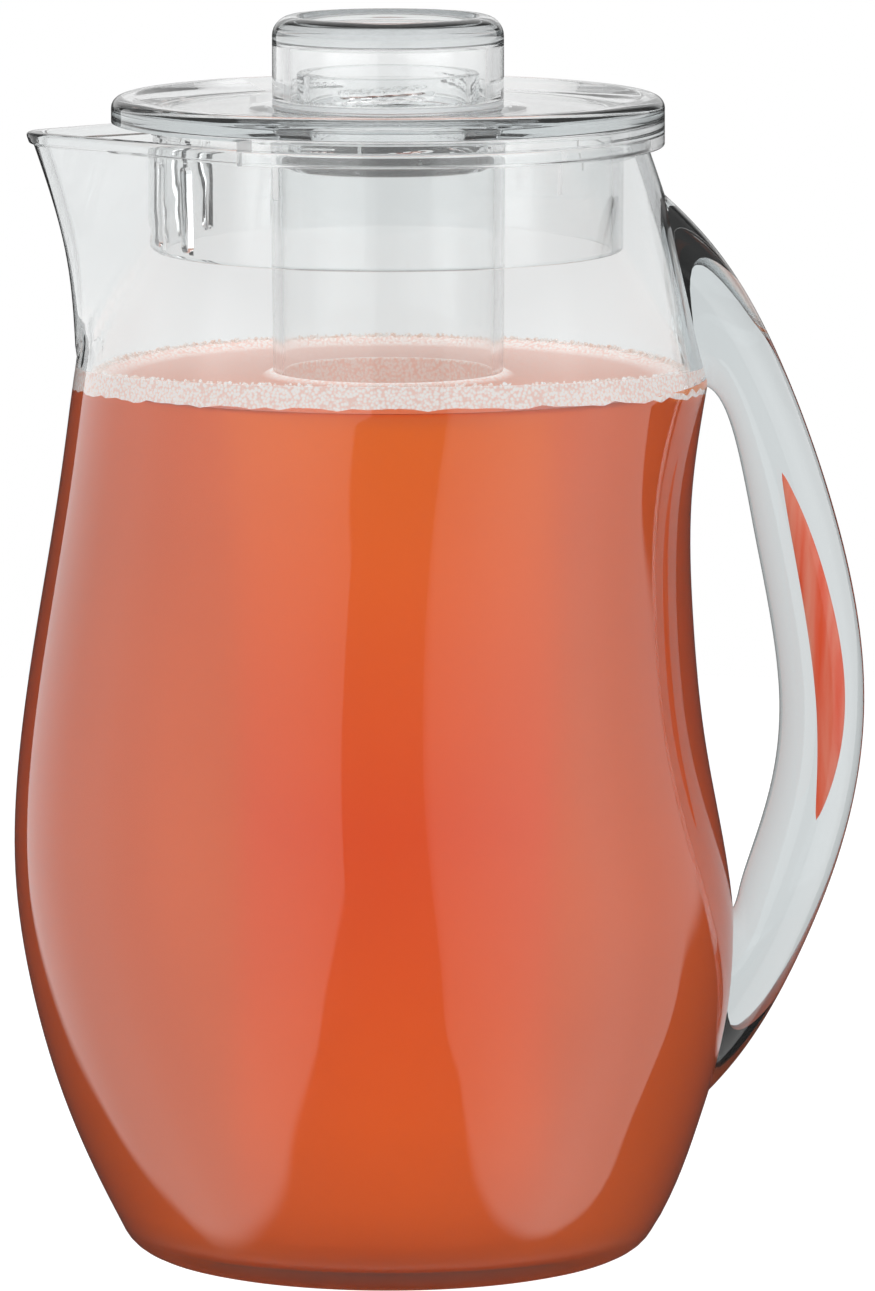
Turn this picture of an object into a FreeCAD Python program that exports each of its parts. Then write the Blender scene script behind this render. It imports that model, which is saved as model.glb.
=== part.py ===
import FreeCAD, Part
import math
import os
import Sketcher

os.makedirs("parts", exist_ok=True)
V = FreeCAD.Vector
doc = FreeCAD.newDocument("Pitcher")

# Driving dimensions, in millimetres, or in degrees for an angle

DRIVING = (
    # Jug: rim height, length of the cone-shaped neck, walls, floor, mouth and belly
    ("rim_height", 254),
    ("neck_length", 56),
    ("neck_swell", 1.6),
    ("wall", 3.6),
    ("rim_extra", 0.2),
    ("floor_thick", 6),
    ("base_round", 9),
    ("floor_round", 12),
    ("mouth_radius", 53.4),
    ("belly_radius", 80.7),
    # Bead around the rim
    ("lip_height", 2.8),
    ("lip_proud", 0.9),
    # Spout: how far its tip stands out of the neck at the rim and half way down, and its tip's radius
    ("spout_proud", 23.3),
    ("spout_middle_proud", 6.4),
    ("spout_tip_radius", 9),
    ("spout_low_radius", 40),
    ("spout_start", 3),
    ("spout_sunk", 0.6),
    # Handle: how far its outside stands out of the belly, and its thickness from front to back
    ("handle_proud", 26.8),
    ("handle_depth", 23),
    # Lid: room in the mouth and round the rim's bead, skirt, flange, top plate
    ("lid_gap", 0.6),
    ("seat_room", 0.05),
    ("skirt_depth", 26.5),
    ("skirt_wall", 2.6),
    ("flange_room", 1),
    ("flange_wall", 3),
    ("flange_drop", 3),
    ("lid_rise", 8),
    ("lid_plate", 3.2),
    ("dish_depth", 2.4),
    ("dish_slope", 4),
    ("crest_width", 5),
    ("spout_ledge", 0.8),
    ("spout_cut_angle", 58),
    # Strainer slots in the skirt, and what is left of it under and over them
    ("slot_width", 2.8),
    ("slot_margin", 1.7),
    ("slot_top_margin", 5.8),
    ("slot_count", 5),
    ("slot_spread", 66),
    # How far a cut runs past the face it leaves
    ("cutter_over", 2),
    # Threads: a ridge's depth, thickness, root and turn, the running room, and the starts
    ("ridge_depth", 1.1),
    ("ridge_thick", 1.1),
    ("ridge_sink", 0.3),
    ("ridge_turn", 55),
    ("thread_room", 0.4),
    ("starts", 3),
    # Knob cap, the collar it screws on and its seal
    ("knob_radius", 26),
    ("knob_height", 18.7),
    ("knob_wall", 4),
    ("knob_round", 4.5),
    ("knob_dish_radius", 20),
    ("knob_dish_depth", 2.6),
    ("knob_ceiling", 3),
    ("knob_lead", 9),
    ("knob_sunk", 1.9),
    ("seat_margin", 1.2),
    ("collar_height", 6.3),
    ("collar_wall", 2.8),
    ("cap_ridge_up", 1.2),
    ("seal_thick", 1.2),
    # Ice tube, its foot's height over the jug's floor, the collar it screws on and its seal
    ("tube_radius", 26.4),
    ("tube_draft", 1.8),
    ("tube_wall", 2.4),
    ("tube_clear", 22.8),
    ("tube_round", 14),
    ("tube_lead", 12),
    ("tube_ridge_down", 5.2),
    ("tube_collar_depth", 11),
    ("tube_seal_thick", 1.6),
)

# Sizes worked out from the driving dimensions, as the sheet's own formulas

WORKED = (
    ("crease_height", "=rim_height - neck_length"),
    ("neck_middle", "=rim_height - neck_length / 2"),
    ("rim_radius", "=mouth_radius + wall + rim_extra"),
    ("spout_reach", "=rim_radius + spout_proud"),
    ("handle_reach", "=belly_radius + handle_proud"),
    ("skirt_radius", "=mouth_radius - lid_gap"),
    ("skirt_inner", "=skirt_radius - skirt_wall"),
    ("skirt_bottom", "=rim_height - skirt_depth"),
    ("flange_inner", "=rim_radius + lip_proud + flange_room"),
    ("flange_radius", "=flange_inner + flange_wall"),
    ("flange_bottom", "=rim_height - flange_drop"),
    ("lid_seat", "=rim_height + seat_room"),
    ("lid_top", "=rim_height + lid_rise"),
    ("dish_top", "=lid_top - dish_depth"),
    ("plate_bottom", "=dish_top - lid_plate"),
    ("cut_radius", "=skirt_radius + spout_ledge"),
    ("cut_reach", "=flange_radius + cutter_over"),
    ("cut_bottom", "=flange_bottom - cutter_over"),
    ("cut_depth", "=plate_bottom - cut_bottom"),
    ("cut_start", "=180 - spout_cut_angle"),
    ("slot_radius", "=slot_width / 2"),
    ("slot_low", "=skirt_bottom + slot_margin + slot_radius"),
    ("slot_high", "=rim_height - slot_top_margin - slot_radius"),
    ("slot_start", "=skirt_radius + cutter_over"),
    ("slot_cut", "=skirt_wall + 2 * cutter_over"),
    ("half_ridge", "=ridge_thick / 2"),
    ("half_crest", "=ridge_thick / 4"),
    ("knob_bore", "=knob_radius - knob_wall"),
    ("knob_seat", "=lid_top - knob_sunk"),
    ("seat_radius", "=knob_radius + seat_margin"),
    ("dish_inner", "=seat_radius + dish_slope"),
    ("flange_crest", "=flange_radius - crest_width"),
    ("knob_bottom", "=knob_seat + seal_thick"),
    ("knob_top", "=knob_bottom + knob_height"),
    ("knob_dish", "=knob_top - knob_dish_depth"),
    ("knob_roof", "=knob_dish - knob_ceiling"),
    ("collar_radius", "=knob_bore - ridge_depth - thread_room"),
    ("collar_bore", "=collar_radius - collar_wall"),
    ("collar_top", "=knob_bottom + collar_height"),
    ("cap_ridge_level", "=knob_bottom + cap_ridge_up"),
    ("collar_ridge_level", "=cap_ridge_level + knob_lead / starts / 2"),
    ("tube_bore", "=tube_radius - tube_wall"),
    ("tube_foot_radius", "=tube_radius - tube_draft"),
    ("tube_foot_bore", "=tube_foot_radius - tube_wall"),
    ("tube_top", "=plate_bottom - tube_seal_thick"),
    ("tube_bottom", "=floor_thick + tube_clear"),
    ("tube_floor", "=tube_bottom + tube_wall"),
    ("tube_floor_round", "=tube_round - tube_wall"),
    ("tube_collar_radius", "=tube_bore - ridge_depth - thread_room"),
    ("tube_collar_bore", "=tube_collar_radius - collar_wall"),
    ("tube_collar_bottom", "=plate_bottom - tube_collar_depth"),
    ("tube_ridge_level", "=tube_top - tube_ridge_down"),
    ("tube_collar_ridge_level", "=tube_ridge_level - tube_lead / starts / 2"),
)

# Jug outline from the floor to the crease under the neck: how high each round section lies, how
# wide it is, and how far it stands towards the handle, as shares of the crease height and of the
# belly radius

BELLY = (
    (0, 0.714, 0),
    (0.051, 0.781, 0.002),
    (0.152, 0.884, -0.007),
    (0.303, 0.984, -0.017),
    (0.43, 1, -0.045),
    (0.58, 0.96, -0.071),
    (0.732, 0.914, -0.063),
    (0.869, 0.884, -0.037),
    (1, 0.884, 0.007),
)

# Handle outline: outer and inner point of each oval section, as shares of the handle's reach and of
# the rim's height, and the section's own share of the handle's depth

GRIP = (
    (0.465, 0.984, 0.55, 0.756, 1.2),
    (0.67, 0.904, 0.674, 0.772, 1.1),
    (0.823, 0.795, 0.739, 0.705, 1),
    (0.944, 0.65, 0.774, 0.63, 1),
    (1, 0.512, 0.82, 0.51, 1),
    (0.972, 0.39, 0.8, 0.407, 1),
    (0.879, 0.276, 0.745, 0.331, 1.05),
    (0.735, 0.169, 0.71, 0.295, 1.15),
    (0.54, 0.087, 0.577, 0.26, 1.25),
)


def fill_sheet():
    """Put the driving dimensions and the sizes worked out from them in the spreadsheet."""
    sheet = doc.addObject("Spreadsheet::Sheet", "Sizes")
    rows = [(name, str(number)) for name, number in DRIVING]
    rows += list(WORKED)
    for row, (name, cell) in enumerate(rows, start=1):
        sheet.set("A%d" % row, name)
        sheet.set("B%d" % row, cell)
        sheet.setAlias("B%d" % row, name)
    doc.recompute()
    return sheet


sheet = fill_sheet()


def size(name):
    """Value of a cell."""
    return float(sheet.get(name))


def total(words):
    """Value of a short sum such as 'knob_bore + ridge_sink'."""
    parts = words.split()
    value = size(parts[0])
    for sign, name in zip(parts[1::2], parts[2::2]):
        value += size(name) if sign == "+" else -size(name)
    return value


def bound(words):
    """The same sum as an expression that reads the spreadsheet."""
    return " ".join(word if word in "+-" else "Sizes." + word for word in words.split())


def origin_part(body, role):
    """A plane or axis of the body's own origin."""
    for feature in body.Origin.OriginFeatures:
        if feature.Role == role:
            return feature
    raise ValueError(role)


def new_body(label):
    body = doc.addObject("PartDesign::Body", label)
    body.Label = label
    return body


def new_sketch(body, name, role, offset=None):
    sketch = body.newObject("Sketcher::SketchObject", name)
    sketch.AttachmentSupport = [(origin_part(body, role), "")]
    sketch.MapMode = "FlatFace"
    if offset:
        sketch.AttachmentOffset = offset
    return sketch


def tie(sketch, kind, places, words):
    """Add a constraint whose value follows the spreadsheet."""
    number = sketch.addConstraint(Sketcher.Constraint(kind, *places, total(words)))
    sketch.setExpression("Constraints[%d]" % number, bound(words))


def outline(body, name, corners):
    """Closed polygon in the XZ plane; each corner is a radius, or 'axis', and a height."""
    sketch = new_sketch(body, name, "XZ_Plane")
    points = [V(0 if across == "axis" else total(across), total(up), 0) for across, up in corners]
    count = len(points)
    for index in range(count):
        sketch.addGeometry(Part.LineSegment(points[index], points[(index + 1) % count]), False)
    for index in range(count):
        sketch.addConstraint(Sketcher.Constraint("Coincident", index, 2, (index + 1) % count, 1))
    for index, (across, up) in enumerate(corners):
        if across == "axis":
            sketch.addConstraint(Sketcher.Constraint("PointOnObject", index, 1, -2))
        else:
            tie(sketch, "DistanceX", (-1, 1, index, 1), across)
        tie(sketch, "DistanceY", (-1, 1, index, 1), up)
    return sketch


def turned(body, name, corners):
    """A solid of revolution about Z from a closed outline."""
    sketch = outline(body, name + "Outline", corners)
    turn = body.newObject("PartDesign::Revolution", name)
    turn.Profile = sketch
    turn.ReferenceAxis = (sketch, ["V_Axis"])
    turn.Angle = 360
    doc.recompute()
    return turn


def ring_edge(shape, radius, height):
    """Name of the round edge about Z that has this radius at this height."""
    for number, edge in enumerate(shape.Edges, start=1):
        curve = edge.Curve
        if isinstance(curve, Part.Circle) and abs(curve.Radius - radius) < 0.01:
            if abs(curve.Center.z - height) < 0.01:
                return "Edge%d" % number
    raise ValueError("no edge of radius %.2f at height %.2f" % (radius, height))


def rounded(body, base, name, across, up, radius):
    """Fillet the round edge that has this radius at this height."""
    fillet = body.newObject("PartDesign::Fillet", name)
    fillet.Base = (base, [ring_edge(base.Shape, size(across), size(up))])
    fillet.setExpression("Radius", bound(radius))
    doc.recompute()
    return fillet


def around(body, feature, name, count, angle=None):
    """Repeat a feature about Z, over the whole turn or the angle named."""
    pattern = body.newObject("PartDesign::PolarPattern", name)
    pattern.Originals = [feature]
    pattern.Axis = (origin_part(body, "Z_Axis"), [""])
    pattern.Angle = 360
    if angle:
        pattern.setExpression("Angle", bound(angle))
    pattern.setExpression("Occurrences", bound(count))
    body.Tip = pattern
    doc.recompute()
    return pattern


def ridges(body, name, wall, sign, level, lead):
    """Short ridges of a thread with several starts, '+' out of a wall or '-' into a bore."""
    other = "-" if sign == "+" else "+"
    root = "%s %s ridge_sink" % (wall, other)
    crest = "%s %s ridge_depth" % (wall, sign)
    sketch = outline(body, name + "Outline", (
        (root, level + " - half_ridge"),
        (crest, level + " - half_crest"),
        (crest, level + " + half_crest"),
        (root, level + " + half_ridge"),
    ))
    helix = body.newObject("PartDesign::AdditiveHelix", name)
    helix.Profile = sketch
    helix.ReferenceAxis = (sketch, ["V_Axis"])
    helix.Mode = "pitch-height-angle"
    helix.setExpression("Pitch", bound(lead))
    helix.setExpression("Height", "Sizes.%s * Sizes.ridge_turn / 360" % lead)
    doc.recompute()
    return around(body, helix, name + "Starts", "starts")


# Jug: one clear moulding, a lofted belly under a cone-shaped neck with the spout drawn out of it


def ring(shift, radius, height):
    return Part.Wire(Part.makeCircle(radius, V(shift, 0, height), V(0, 0, 1)).Edges)


def wedge(neck_radius, reach, tip_radius, height):
    """Plan of the spout: a round tip joined by two tangent flanks to a chord inside the neck."""
    centre = V(tip_radius - reach, 0, height)
    across = (neck_radius - tip_radius) / -centre.x
    along = math.sqrt(1 - across * across)
    inside = neck_radius - size("wall") / 4
    left = V(-across * inside, along * inside, height)
    right = V(-across * inside, -along * inside, height)
    tip_left = centre + V(-across * tip_radius, along * tip_radius, 0)
    tip_right = centre + V(-across * tip_radius, -along * tip_radius, 0)
    edges = [
        Part.LineSegment(left, tip_left).toShape(),
        Part.Arc(tip_left, V(-reach, 0, height), tip_right).toShape(),
        Part.LineSegment(tip_right, right).toShape(),
        Part.LineSegment(right, left).toShape(),
    ]
    return Part.Wire(edges)


def belly_form(inset, bottom, round_radius):
    """The belly from its floor to the crease, with the floor's edge rounded."""
    wide = size("belly_radius")
    rise = size("crease_height") - bottom
    rings = [ring(shift * wide, radius * wide - inset, bottom + level * rise)
             for level, radius, shift in BELLY]
    belly = Part.makeLoft(rings, True)
    foot = [edge for edge in belly.Edges if edge.BoundBox.ZMax < bottom + 0.01]
    return belly.makeFillet(round_radius, foot)


def neck_form(inset):
    """The neck as a cone that narrows to the rim."""
    shift = BELLY[-1][2] * size("belly_radius")
    low = BELLY[-1][1] * size("belly_radius")
    high = size("rim_radius")
    middle = (low + high) / 2 + size("neck_swell")
    return Part.makeLoft([
        ring(shift, low - inset, size("crease_height")),
        ring(shift / 2, middle - inset, size("neck_middle")),
        ring(0, high - inset, size("rim_height")),
    ], True)


def spout_form(inset):
    """The spout, from a few millimetres above the crease to the rim."""
    low = BELLY[-1][1] * size("belly_radius")
    high = size("rim_radius")
    middle = (low + high) / 2 + size("neck_swell")
    start = size("spout_start")
    tip = size("spout_tip_radius")
    root = low - start / 4
    low_reach = root - size("spout_sunk")
    middle_reach = middle + size("spout_middle_proud")
    return Part.makeLoft([
        wedge(low_reach - size("spout_sunk") / 2 - inset, low_reach - inset,
              size("spout_low_radius") - inset, size("crease_height") + start),
        wedge(middle - inset, middle_reach - inset, 2 * tip - inset, size("neck_middle")),
        wedge(high - inset, size("spout_reach") - inset, tip - inset, size("rim_height")),
    ], True)


def rim_band(grow, bottom, top):
    """An upright band of the rim's own plan."""
    high = size("rim_radius") + grow
    rise = V(0, 0, top - bottom)
    plan = wedge(high, size("spout_reach") + grow, size("spout_tip_radius") + grow, bottom)
    return [Part.Face(ring(0, high, bottom)).extrude(rise), Part.Face(plan).extrude(rise)]


wall = size("wall")
rim_height = size("rim_height")
lip_height = size("lip_height")
lip = rim_band(size("lip_proud"), rim_height - lip_height, rim_height)
mouth = rim_band(-wall, rim_height, rim_height + lip_height)
outside = belly_form(0, 0, size("base_round")).multiFuse([neck_form(0), spout_form(0)] + lip)
hollow = belly_form(wall, size("floor_thick"), size("floor_round"))
hollow = hollow.multiFuse([neck_form(wall), spout_form(wall)] + mouth)

jug = doc.addObject("Part::Feature", "jug_body")
jug.Label = "jug_body"
jug.Shape = outside.cut(hollow)
jug.Placement = FreeCAD.Placement()

# Handle: a solid crescent of oval section, cut to the jug's outside where it is welded on. An oval
# is an ellipse whose sine and cosine are raised to a power under 1, which fills its corners out

HALF_POINTS = 8
OVAL_FULLNESS = 0.86


def oval(outer, inner, depth):
    """Oval section through two points of the XZ plane, as a front and a back half."""
    centre = (outer + inner) / 2
    across = (outer - inner) / 2
    halves = []
    for start in (0, HALF_POINTS):
        points = []
        for step in range(start, start + HALF_POINTS + 1):
            angle = math.pi * step / HALF_POINTS
            out = math.copysign(abs(math.cos(angle)) ** OVAL_FULLNESS, math.cos(angle))
            side = math.copysign(abs(math.sin(angle)) ** OVAL_FULLNESS, math.sin(angle))
            points.append(centre + across * out + V(0, side * depth / 2, 0))
        curve = Part.BSplineCurve()
        deep = V(0, 1 if start == 0 else -1, 0)
        curve.interpolate(Points=points, InitialTangent=deep, FinalTangent=-deep)
        halves.append(curve.toShape())
    return Part.Wire(halves)


def handle_form():
    reach = size("handle_reach")
    ovals = []
    for outer_x, outer_z, inner_x, inner_z, depth in GRIP:
        outer = V(outer_x * reach, 0, outer_z * rim_height)
        inner = V(inner_x * reach, 0, inner_z * rim_height)
        ovals.append(oval(outer, inner, depth * size("handle_depth")))
    return Part.makeLoft(ovals, True)


handle = doc.addObject("Part::Feature", "handle")
handle.Label = "handle"
handle.Shape = handle_form().cut(outside)
handle.Placement = FreeCAD.Placement()

# Lid: plate, flange over the rim, strainer skirt, a collar up into the knob and one down into the tube

lid = new_body("lid")
plate = turned(lid, "LidPlate", (
    ("collar_bore", "collar_top"),
    ("collar_radius", "collar_top"),
    ("collar_radius", "knob_seat"),
    ("seat_radius", "knob_seat"),
    ("dish_inner", "dish_top"),
    ("skirt_inner", "dish_top"),
    ("flange_crest", "lid_top"),
    ("flange_radius", "lid_top"),
    ("flange_radius", "flange_bottom"),
    ("flange_inner", "flange_bottom"),
    ("flange_inner", "lid_seat"),
    ("skirt_radius", "lid_seat"),
    ("skirt_radius", "skirt_bottom"),
    ("skirt_inner", "skirt_bottom"),
    ("skirt_inner", "plate_bottom"),
    ("tube_collar_radius", "plate_bottom"),
    ("tube_collar_radius", "tube_collar_bottom"),
    ("tube_collar_bore", "tube_collar_bottom"),
    ("tube_collar_bore", "plate_bottom"),
    ("collar_bore", "dish_top"),
))
rounded(lid, plate, "FlangeRound", "flange_radius", "lid_top", "flange_wall")


def spout_cut():
    """Take the flange under the plate away over the spout."""
    lift = FreeCAD.Placement(V(0, 0, size("cut_bottom")), FreeCAD.Rotation())
    sketch = new_sketch(lid, "SpoutCutOutline", "XY_Plane", lift)
    sketch.setExpression("AttachmentOffset.Base.z", "Sizes.cut_bottom")
    half = math.radians(size("spout_cut_angle"))
    for radius in (size("cut_radius"), size("cut_reach")):
        circle = Part.Circle(V(0, 0, 0), V(0, 0, 1), radius)
        sketch.addGeometry(Part.ArcOfCircle(circle, math.pi - half, math.pi + half), False)
    for side in (-1, 1):
        direction = V(math.cos(math.pi + side * half), math.sin(math.pi + side * half), 0)
        ends = (direction * size("cut_radius"), direction * size("cut_reach"))
        sketch.addGeometry(Part.LineSegment(*ends), False)
    for arc in (0, 1):
        sketch.addConstraint(Sketcher.Constraint("Coincident", arc, 3, -1, 1))
    for line, arc_end in ((2, 1), (3, 2)):
        sketch.addConstraint(Sketcher.Constraint("Coincident", line, 1, 0, arc_end))
        sketch.addConstraint(Sketcher.Constraint("Coincident", line, 2, 1, arc_end))
        sketch.addConstraint(Sketcher.Constraint("PointOnObject", -1, 1, line))
    tie(sketch, "Radius", (0,), "cut_radius")
    tie(sketch, "Radius", (1,), "cut_reach")
    for line, sign in ((2, 1), (3, -1)):
        angle = Sketcher.Constraint("Angle", line, sign * (math.pi - half))
        number = sketch.addConstraint(angle)
        sketch.setExpression("Constraints[%d]" % number, "%d * Sizes.cut_start" % sign)
    before = lid.Shape.Volume
    pocket = lid.newObject("PartDesign::Pocket", "SpoutCut")
    pocket.Profile = sketch
    pocket.Reversed = True
    pocket.setExpression("Length", "Sizes.cut_depth")
    doc.recompute()
    print("flange cut away, mm3:", round(before - lid.Shape.Volume))


def strainer():
    """Upright slots with round ends through the skirt, side by side behind the spout."""
    turn = math.radians(size("slot_spread") / 2)
    start = size("slot_start")
    place = V(start * math.sin(turn), 0, -start * math.cos(turn))
    rotation = FreeCAD.Rotation(V(0, 1, 0), -math.degrees(turn))
    sketch = new_sketch(lid, "SlotOutline", "YZ_Plane", FreeCAD.Placement(place, rotation))
    half = size("slot_radius")
    low = size("slot_low")
    high = size("slot_high")
    top = Part.Circle(V(0, high, 0), V(0, 0, 1), half)
    bottom = Part.Circle(V(0, low, 0), V(0, 0, 1), half)
    sketch.addGeometry(Part.LineSegment(V(-half, low, 0), V(-half, high, 0)), False)
    sketch.addGeometry(Part.ArcOfCircle(top, 0, math.pi), False)
    sketch.addGeometry(Part.LineSegment(V(half, high, 0), V(half, low, 0)), False)
    sketch.addGeometry(Part.ArcOfCircle(bottom, math.pi, 2 * math.pi), False)
    for ends in ((0, 2, 1, 2), (1, 1, 2, 1), (2, 2, 3, 2), (3, 1, 0, 1)):
        sketch.addConstraint(Sketcher.Constraint("Tangent", *ends))
    for arc in (1, 3):
        sketch.addConstraint(Sketcher.Constraint("PointOnObject", arc, 3, -2))
    tie(sketch, "Radius", (1,), "slot_radius")
    tie(sketch, "DistanceY", (-1, 1, 1, 3), "slot_high")
    tie(sketch, "DistanceY", (-1, 1, 3, 3), "slot_low")
    before = lid.Shape.Volume
    pocket = lid.newObject("PartDesign::Pocket", "Slot")
    pocket.Profile = sketch
    pocket.Reversed = True
    pocket.setExpression("Length", "Sizes.slot_cut")
    doc.recompute()
    around(lid, pocket, "Slots", "slot_count", "slot_spread")
    print("strainer slots, mm3:", round(before - lid.Shape.Volume))


spout_cut()
strainer()
ridges(lid, "CollarRidge", "collar_radius", "+", "collar_ridge_level", "knob_lead")
ridges(lid, "TubeCollarRidge", "tube_collar_radius", "+", "tube_collar_ridge_level", "tube_lead")

# Knob: a hollow screw cap with a dished top

knob = new_body("knob_cap")
shell = turned(knob, "CapShell", (
    ("knob_bore", "knob_bottom"),
    ("knob_radius", "knob_bottom"),
    ("knob_radius", "knob_top"),
    ("knob_dish_radius", "knob_top"),
    ("knob_dish_radius", "knob_dish"),
    ("axis", "knob_dish"),
    ("axis", "knob_roof"),
    ("knob_bore", "knob_roof"),
))
rounded(knob, shell, "CapRound", "knob_radius", "knob_top", "knob_round")
ridges(knob, "CapRidge", "knob_bore", "-", "cap_ridge_level", "knob_lead")

knob_seal = new_body("knob_seal")
turned(knob_seal, "KnobSealRing", (
    ("knob_bore", "knob_seat"),
    ("knob_radius", "knob_seat"),
    ("knob_radius", "knob_bottom"),
    ("knob_bore", "knob_bottom"),
))

# Ice tube: a long closed tube, slightly narrower at its round foot, threaded inside its mouth

tube = new_body("ice_tube")
barrel = turned(tube, "TubeBarrel", (
    ("axis", "tube_bottom"),
    ("tube_foot_radius", "tube_bottom"),
    ("tube_radius", "tube_top"),
    ("tube_bore", "tube_top"),
    ("tube_foot_bore", "tube_floor"),
    ("axis", "tube_floor"),
))
foot = rounded(tube, barrel, "TubeFoot", "tube_foot_radius", "tube_bottom", "tube_round")
rounded(tube, foot, "TubeFloor", "tube_foot_bore", "tube_floor", "tube_floor_round")
ridges(tube, "TubeRidge", "tube_bore", "-", "tube_ridge_level", "tube_lead")

tube_seal = new_body("tube_seal")
turned(tube_seal, "TubeSealRing", (
    ("tube_bore", "tube_top"),
    ("tube_radius", "tube_top"),
    ("tube_radius", "plate_bottom"),
    ("tube_bore", "plate_bottom"),
))

doc.recompute()
failed = [item.Label for item in doc.Objects if {"Invalid", "Error"} & set(item.State)]
if failed:
    raise SystemExit("failed: " + ", ".join(failed))
pieces = (jug, handle, lid, knob, knob_seal, tube, tube_seal)
for piece in pieces:
    if piece.Shape.isNull() or not piece.Shape.isValid():
        raise SystemExit("bad shape: " + piece.Label)
for piece in pieces:
    box = piece.Shape.BoundBox
    print("%-10s solids %d volume %9.0f  x %.1f %.1f  y %.1f %.1f  z %.1f %.1f" % (
        piece.Label, len(piece.Shape.Solids), piece.Shape.Volume,
        box.XMin, box.XMax, box.YMin, box.YMax, box.ZMin, box.ZMax))
    piece.Shape.exportStep("parts/%s.step" % piece.Label)
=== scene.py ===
import bpy
import bmesh
import math
import numpy as np
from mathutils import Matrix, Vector


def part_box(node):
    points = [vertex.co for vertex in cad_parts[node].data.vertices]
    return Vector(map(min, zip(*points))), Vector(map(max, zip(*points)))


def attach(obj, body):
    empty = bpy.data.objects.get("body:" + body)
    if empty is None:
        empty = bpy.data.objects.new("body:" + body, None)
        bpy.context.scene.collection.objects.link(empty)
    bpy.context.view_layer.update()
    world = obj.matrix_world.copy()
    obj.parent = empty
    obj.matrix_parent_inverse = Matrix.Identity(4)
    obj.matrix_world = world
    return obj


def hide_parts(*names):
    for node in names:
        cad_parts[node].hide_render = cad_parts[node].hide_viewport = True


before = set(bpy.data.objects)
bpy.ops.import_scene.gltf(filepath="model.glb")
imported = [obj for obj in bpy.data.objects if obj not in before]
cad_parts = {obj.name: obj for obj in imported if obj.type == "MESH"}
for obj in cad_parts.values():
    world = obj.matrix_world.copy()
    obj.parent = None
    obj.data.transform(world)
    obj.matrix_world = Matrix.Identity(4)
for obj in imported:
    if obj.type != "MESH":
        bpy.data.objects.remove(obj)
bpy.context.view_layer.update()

# Jug body. One thick moulding of clear plastic: a swelling belly on a flat base, a cone-shaped neck
# that meets it at a soft crease, a pouring spout drawn out of the neck, and a bead round the rim.

MM = 0.001
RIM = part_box("jug_body")[1].z
BELLY_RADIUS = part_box("jug_body")[1].y
CREASE = RIM - 56 * MM
NECK_SWELL = 1.6 * MM
WALL = 3.6 * MM
FLOOR = 6 * MM
RIM_RADIUS = 57.2 * MM
BASE_ROUND = 9 * MM
FLOOR_ROUND = 12 * MM
LIP_HEIGHT = 2.8 * MM
LIP_PROUD = 0.9 * MM
SPOUT_SUNK = 0.76 * MM
SPOUT_START = 3 * MM
SPOUT_MIDDLE_PROUD = 6.4 * MM
SPOUT_PROUD = 23.3 * MM
SPOUT_RADII = (40 * MM, 18 * MM, 9 * MM)
CREASE_BLEND = 6 * MM
CREASE_SOFT = 0.3 * MM
# How high each round section of the belly lies, how wide it is, and how far it stands towards the
# handle, as shares of the crease's height and of the belly's radius
BELLY = (
    (0, 0.714, 0),
    (0.051, 0.781, 0.002),
    (0.152, 0.884, -0.007),
    (0.303, 0.984, -0.017),
    (0.43, 1, -0.045),
    (0.58, 0.96, -0.071),
    (0.732, 0.914, -0.063),
    (0.869, 0.884, -0.037),
    (1, 0.884, 0.007),
)


def spline(places, values):
    """Smooth curve through the values at these places, which runs on straight past its ends."""
    x, y = np.array(places, float), np.array(values, float)
    gap = np.diff(x)
    slope = np.diff(y) / gap
    system = np.eye(len(x))
    turn = np.zeros(len(x))
    for i in range(1, len(x) - 1):
        system[i, i - 1:i + 2] = gap[i - 1], 2 * (gap[i - 1] + gap[i]), gap[i]
        turn[i] = 6 * (slope[i] - slope[i - 1])
    bend = np.linalg.solve(system, turn)

    def curve(at):
        inside = min(max(at, x[0]), x[-1])
        i = min(max(int(np.searchsorted(x, inside)) - 1, 0), len(x) - 2)
        before, after = inside - x[i], x[i + 1] - inside
        value = (bend[i] * after ** 3 + bend[i + 1] * before ** 3) / (6 * gap[i])
        value += (y[i] / gap[i] - bend[i] * gap[i] / 6) * after
        value += (y[i + 1] / gap[i] - bend[i + 1] * gap[i] / 6) * before
        rate = (bend[i + 1] * before ** 2 - bend[i] * after ** 2) / (2 * gap[i])
        rate += slope[i] - (bend[i + 1] - bend[i]) * gap[i] / 6
        return float(value + rate * (at - inside))

    return curve


belly_width = spline([row[0] for row in BELLY], [row[1] for row in BELLY])
belly_shift = spline([row[0] for row in BELLY], [row[2] for row in BELLY])
crease_radius = BELLY[-1][1] * BELLY_RADIUS
neck_middle = (CREASE + RIM) / 2
neck_width = spline(
    (CREASE, neck_middle, RIM),
    (crease_radius, (crease_radius + RIM_RADIUS) / 2 + NECK_SWELL, RIM_RADIUS),
)
spout_heights = (CREASE + SPOUT_START, neck_middle, RIM)
spout_proud = spline(spout_heights, (-SPOUT_SUNK, SPOUT_MIDDLE_PROUD, SPOUT_PROUD))
spout_radius = spline(spout_heights, SPOUT_RADII)


def circle_reach(radius, shift, angle):
    """Distance from the axis to a circle whose centre stands off the axis."""
    side = shift * math.sin(angle)
    return shift * math.cos(angle) + math.sqrt(radius * radius - side * side)


def belly_reach(height, angle, inset):
    bottom = FLOOR * inset / WALL
    level = (height - bottom) / (CREASE - bottom)
    radius = belly_width(level) * BELLY_RADIUS - inset
    return circle_reach(radius, belly_shift(level) * BELLY_RADIUS, angle)


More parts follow.
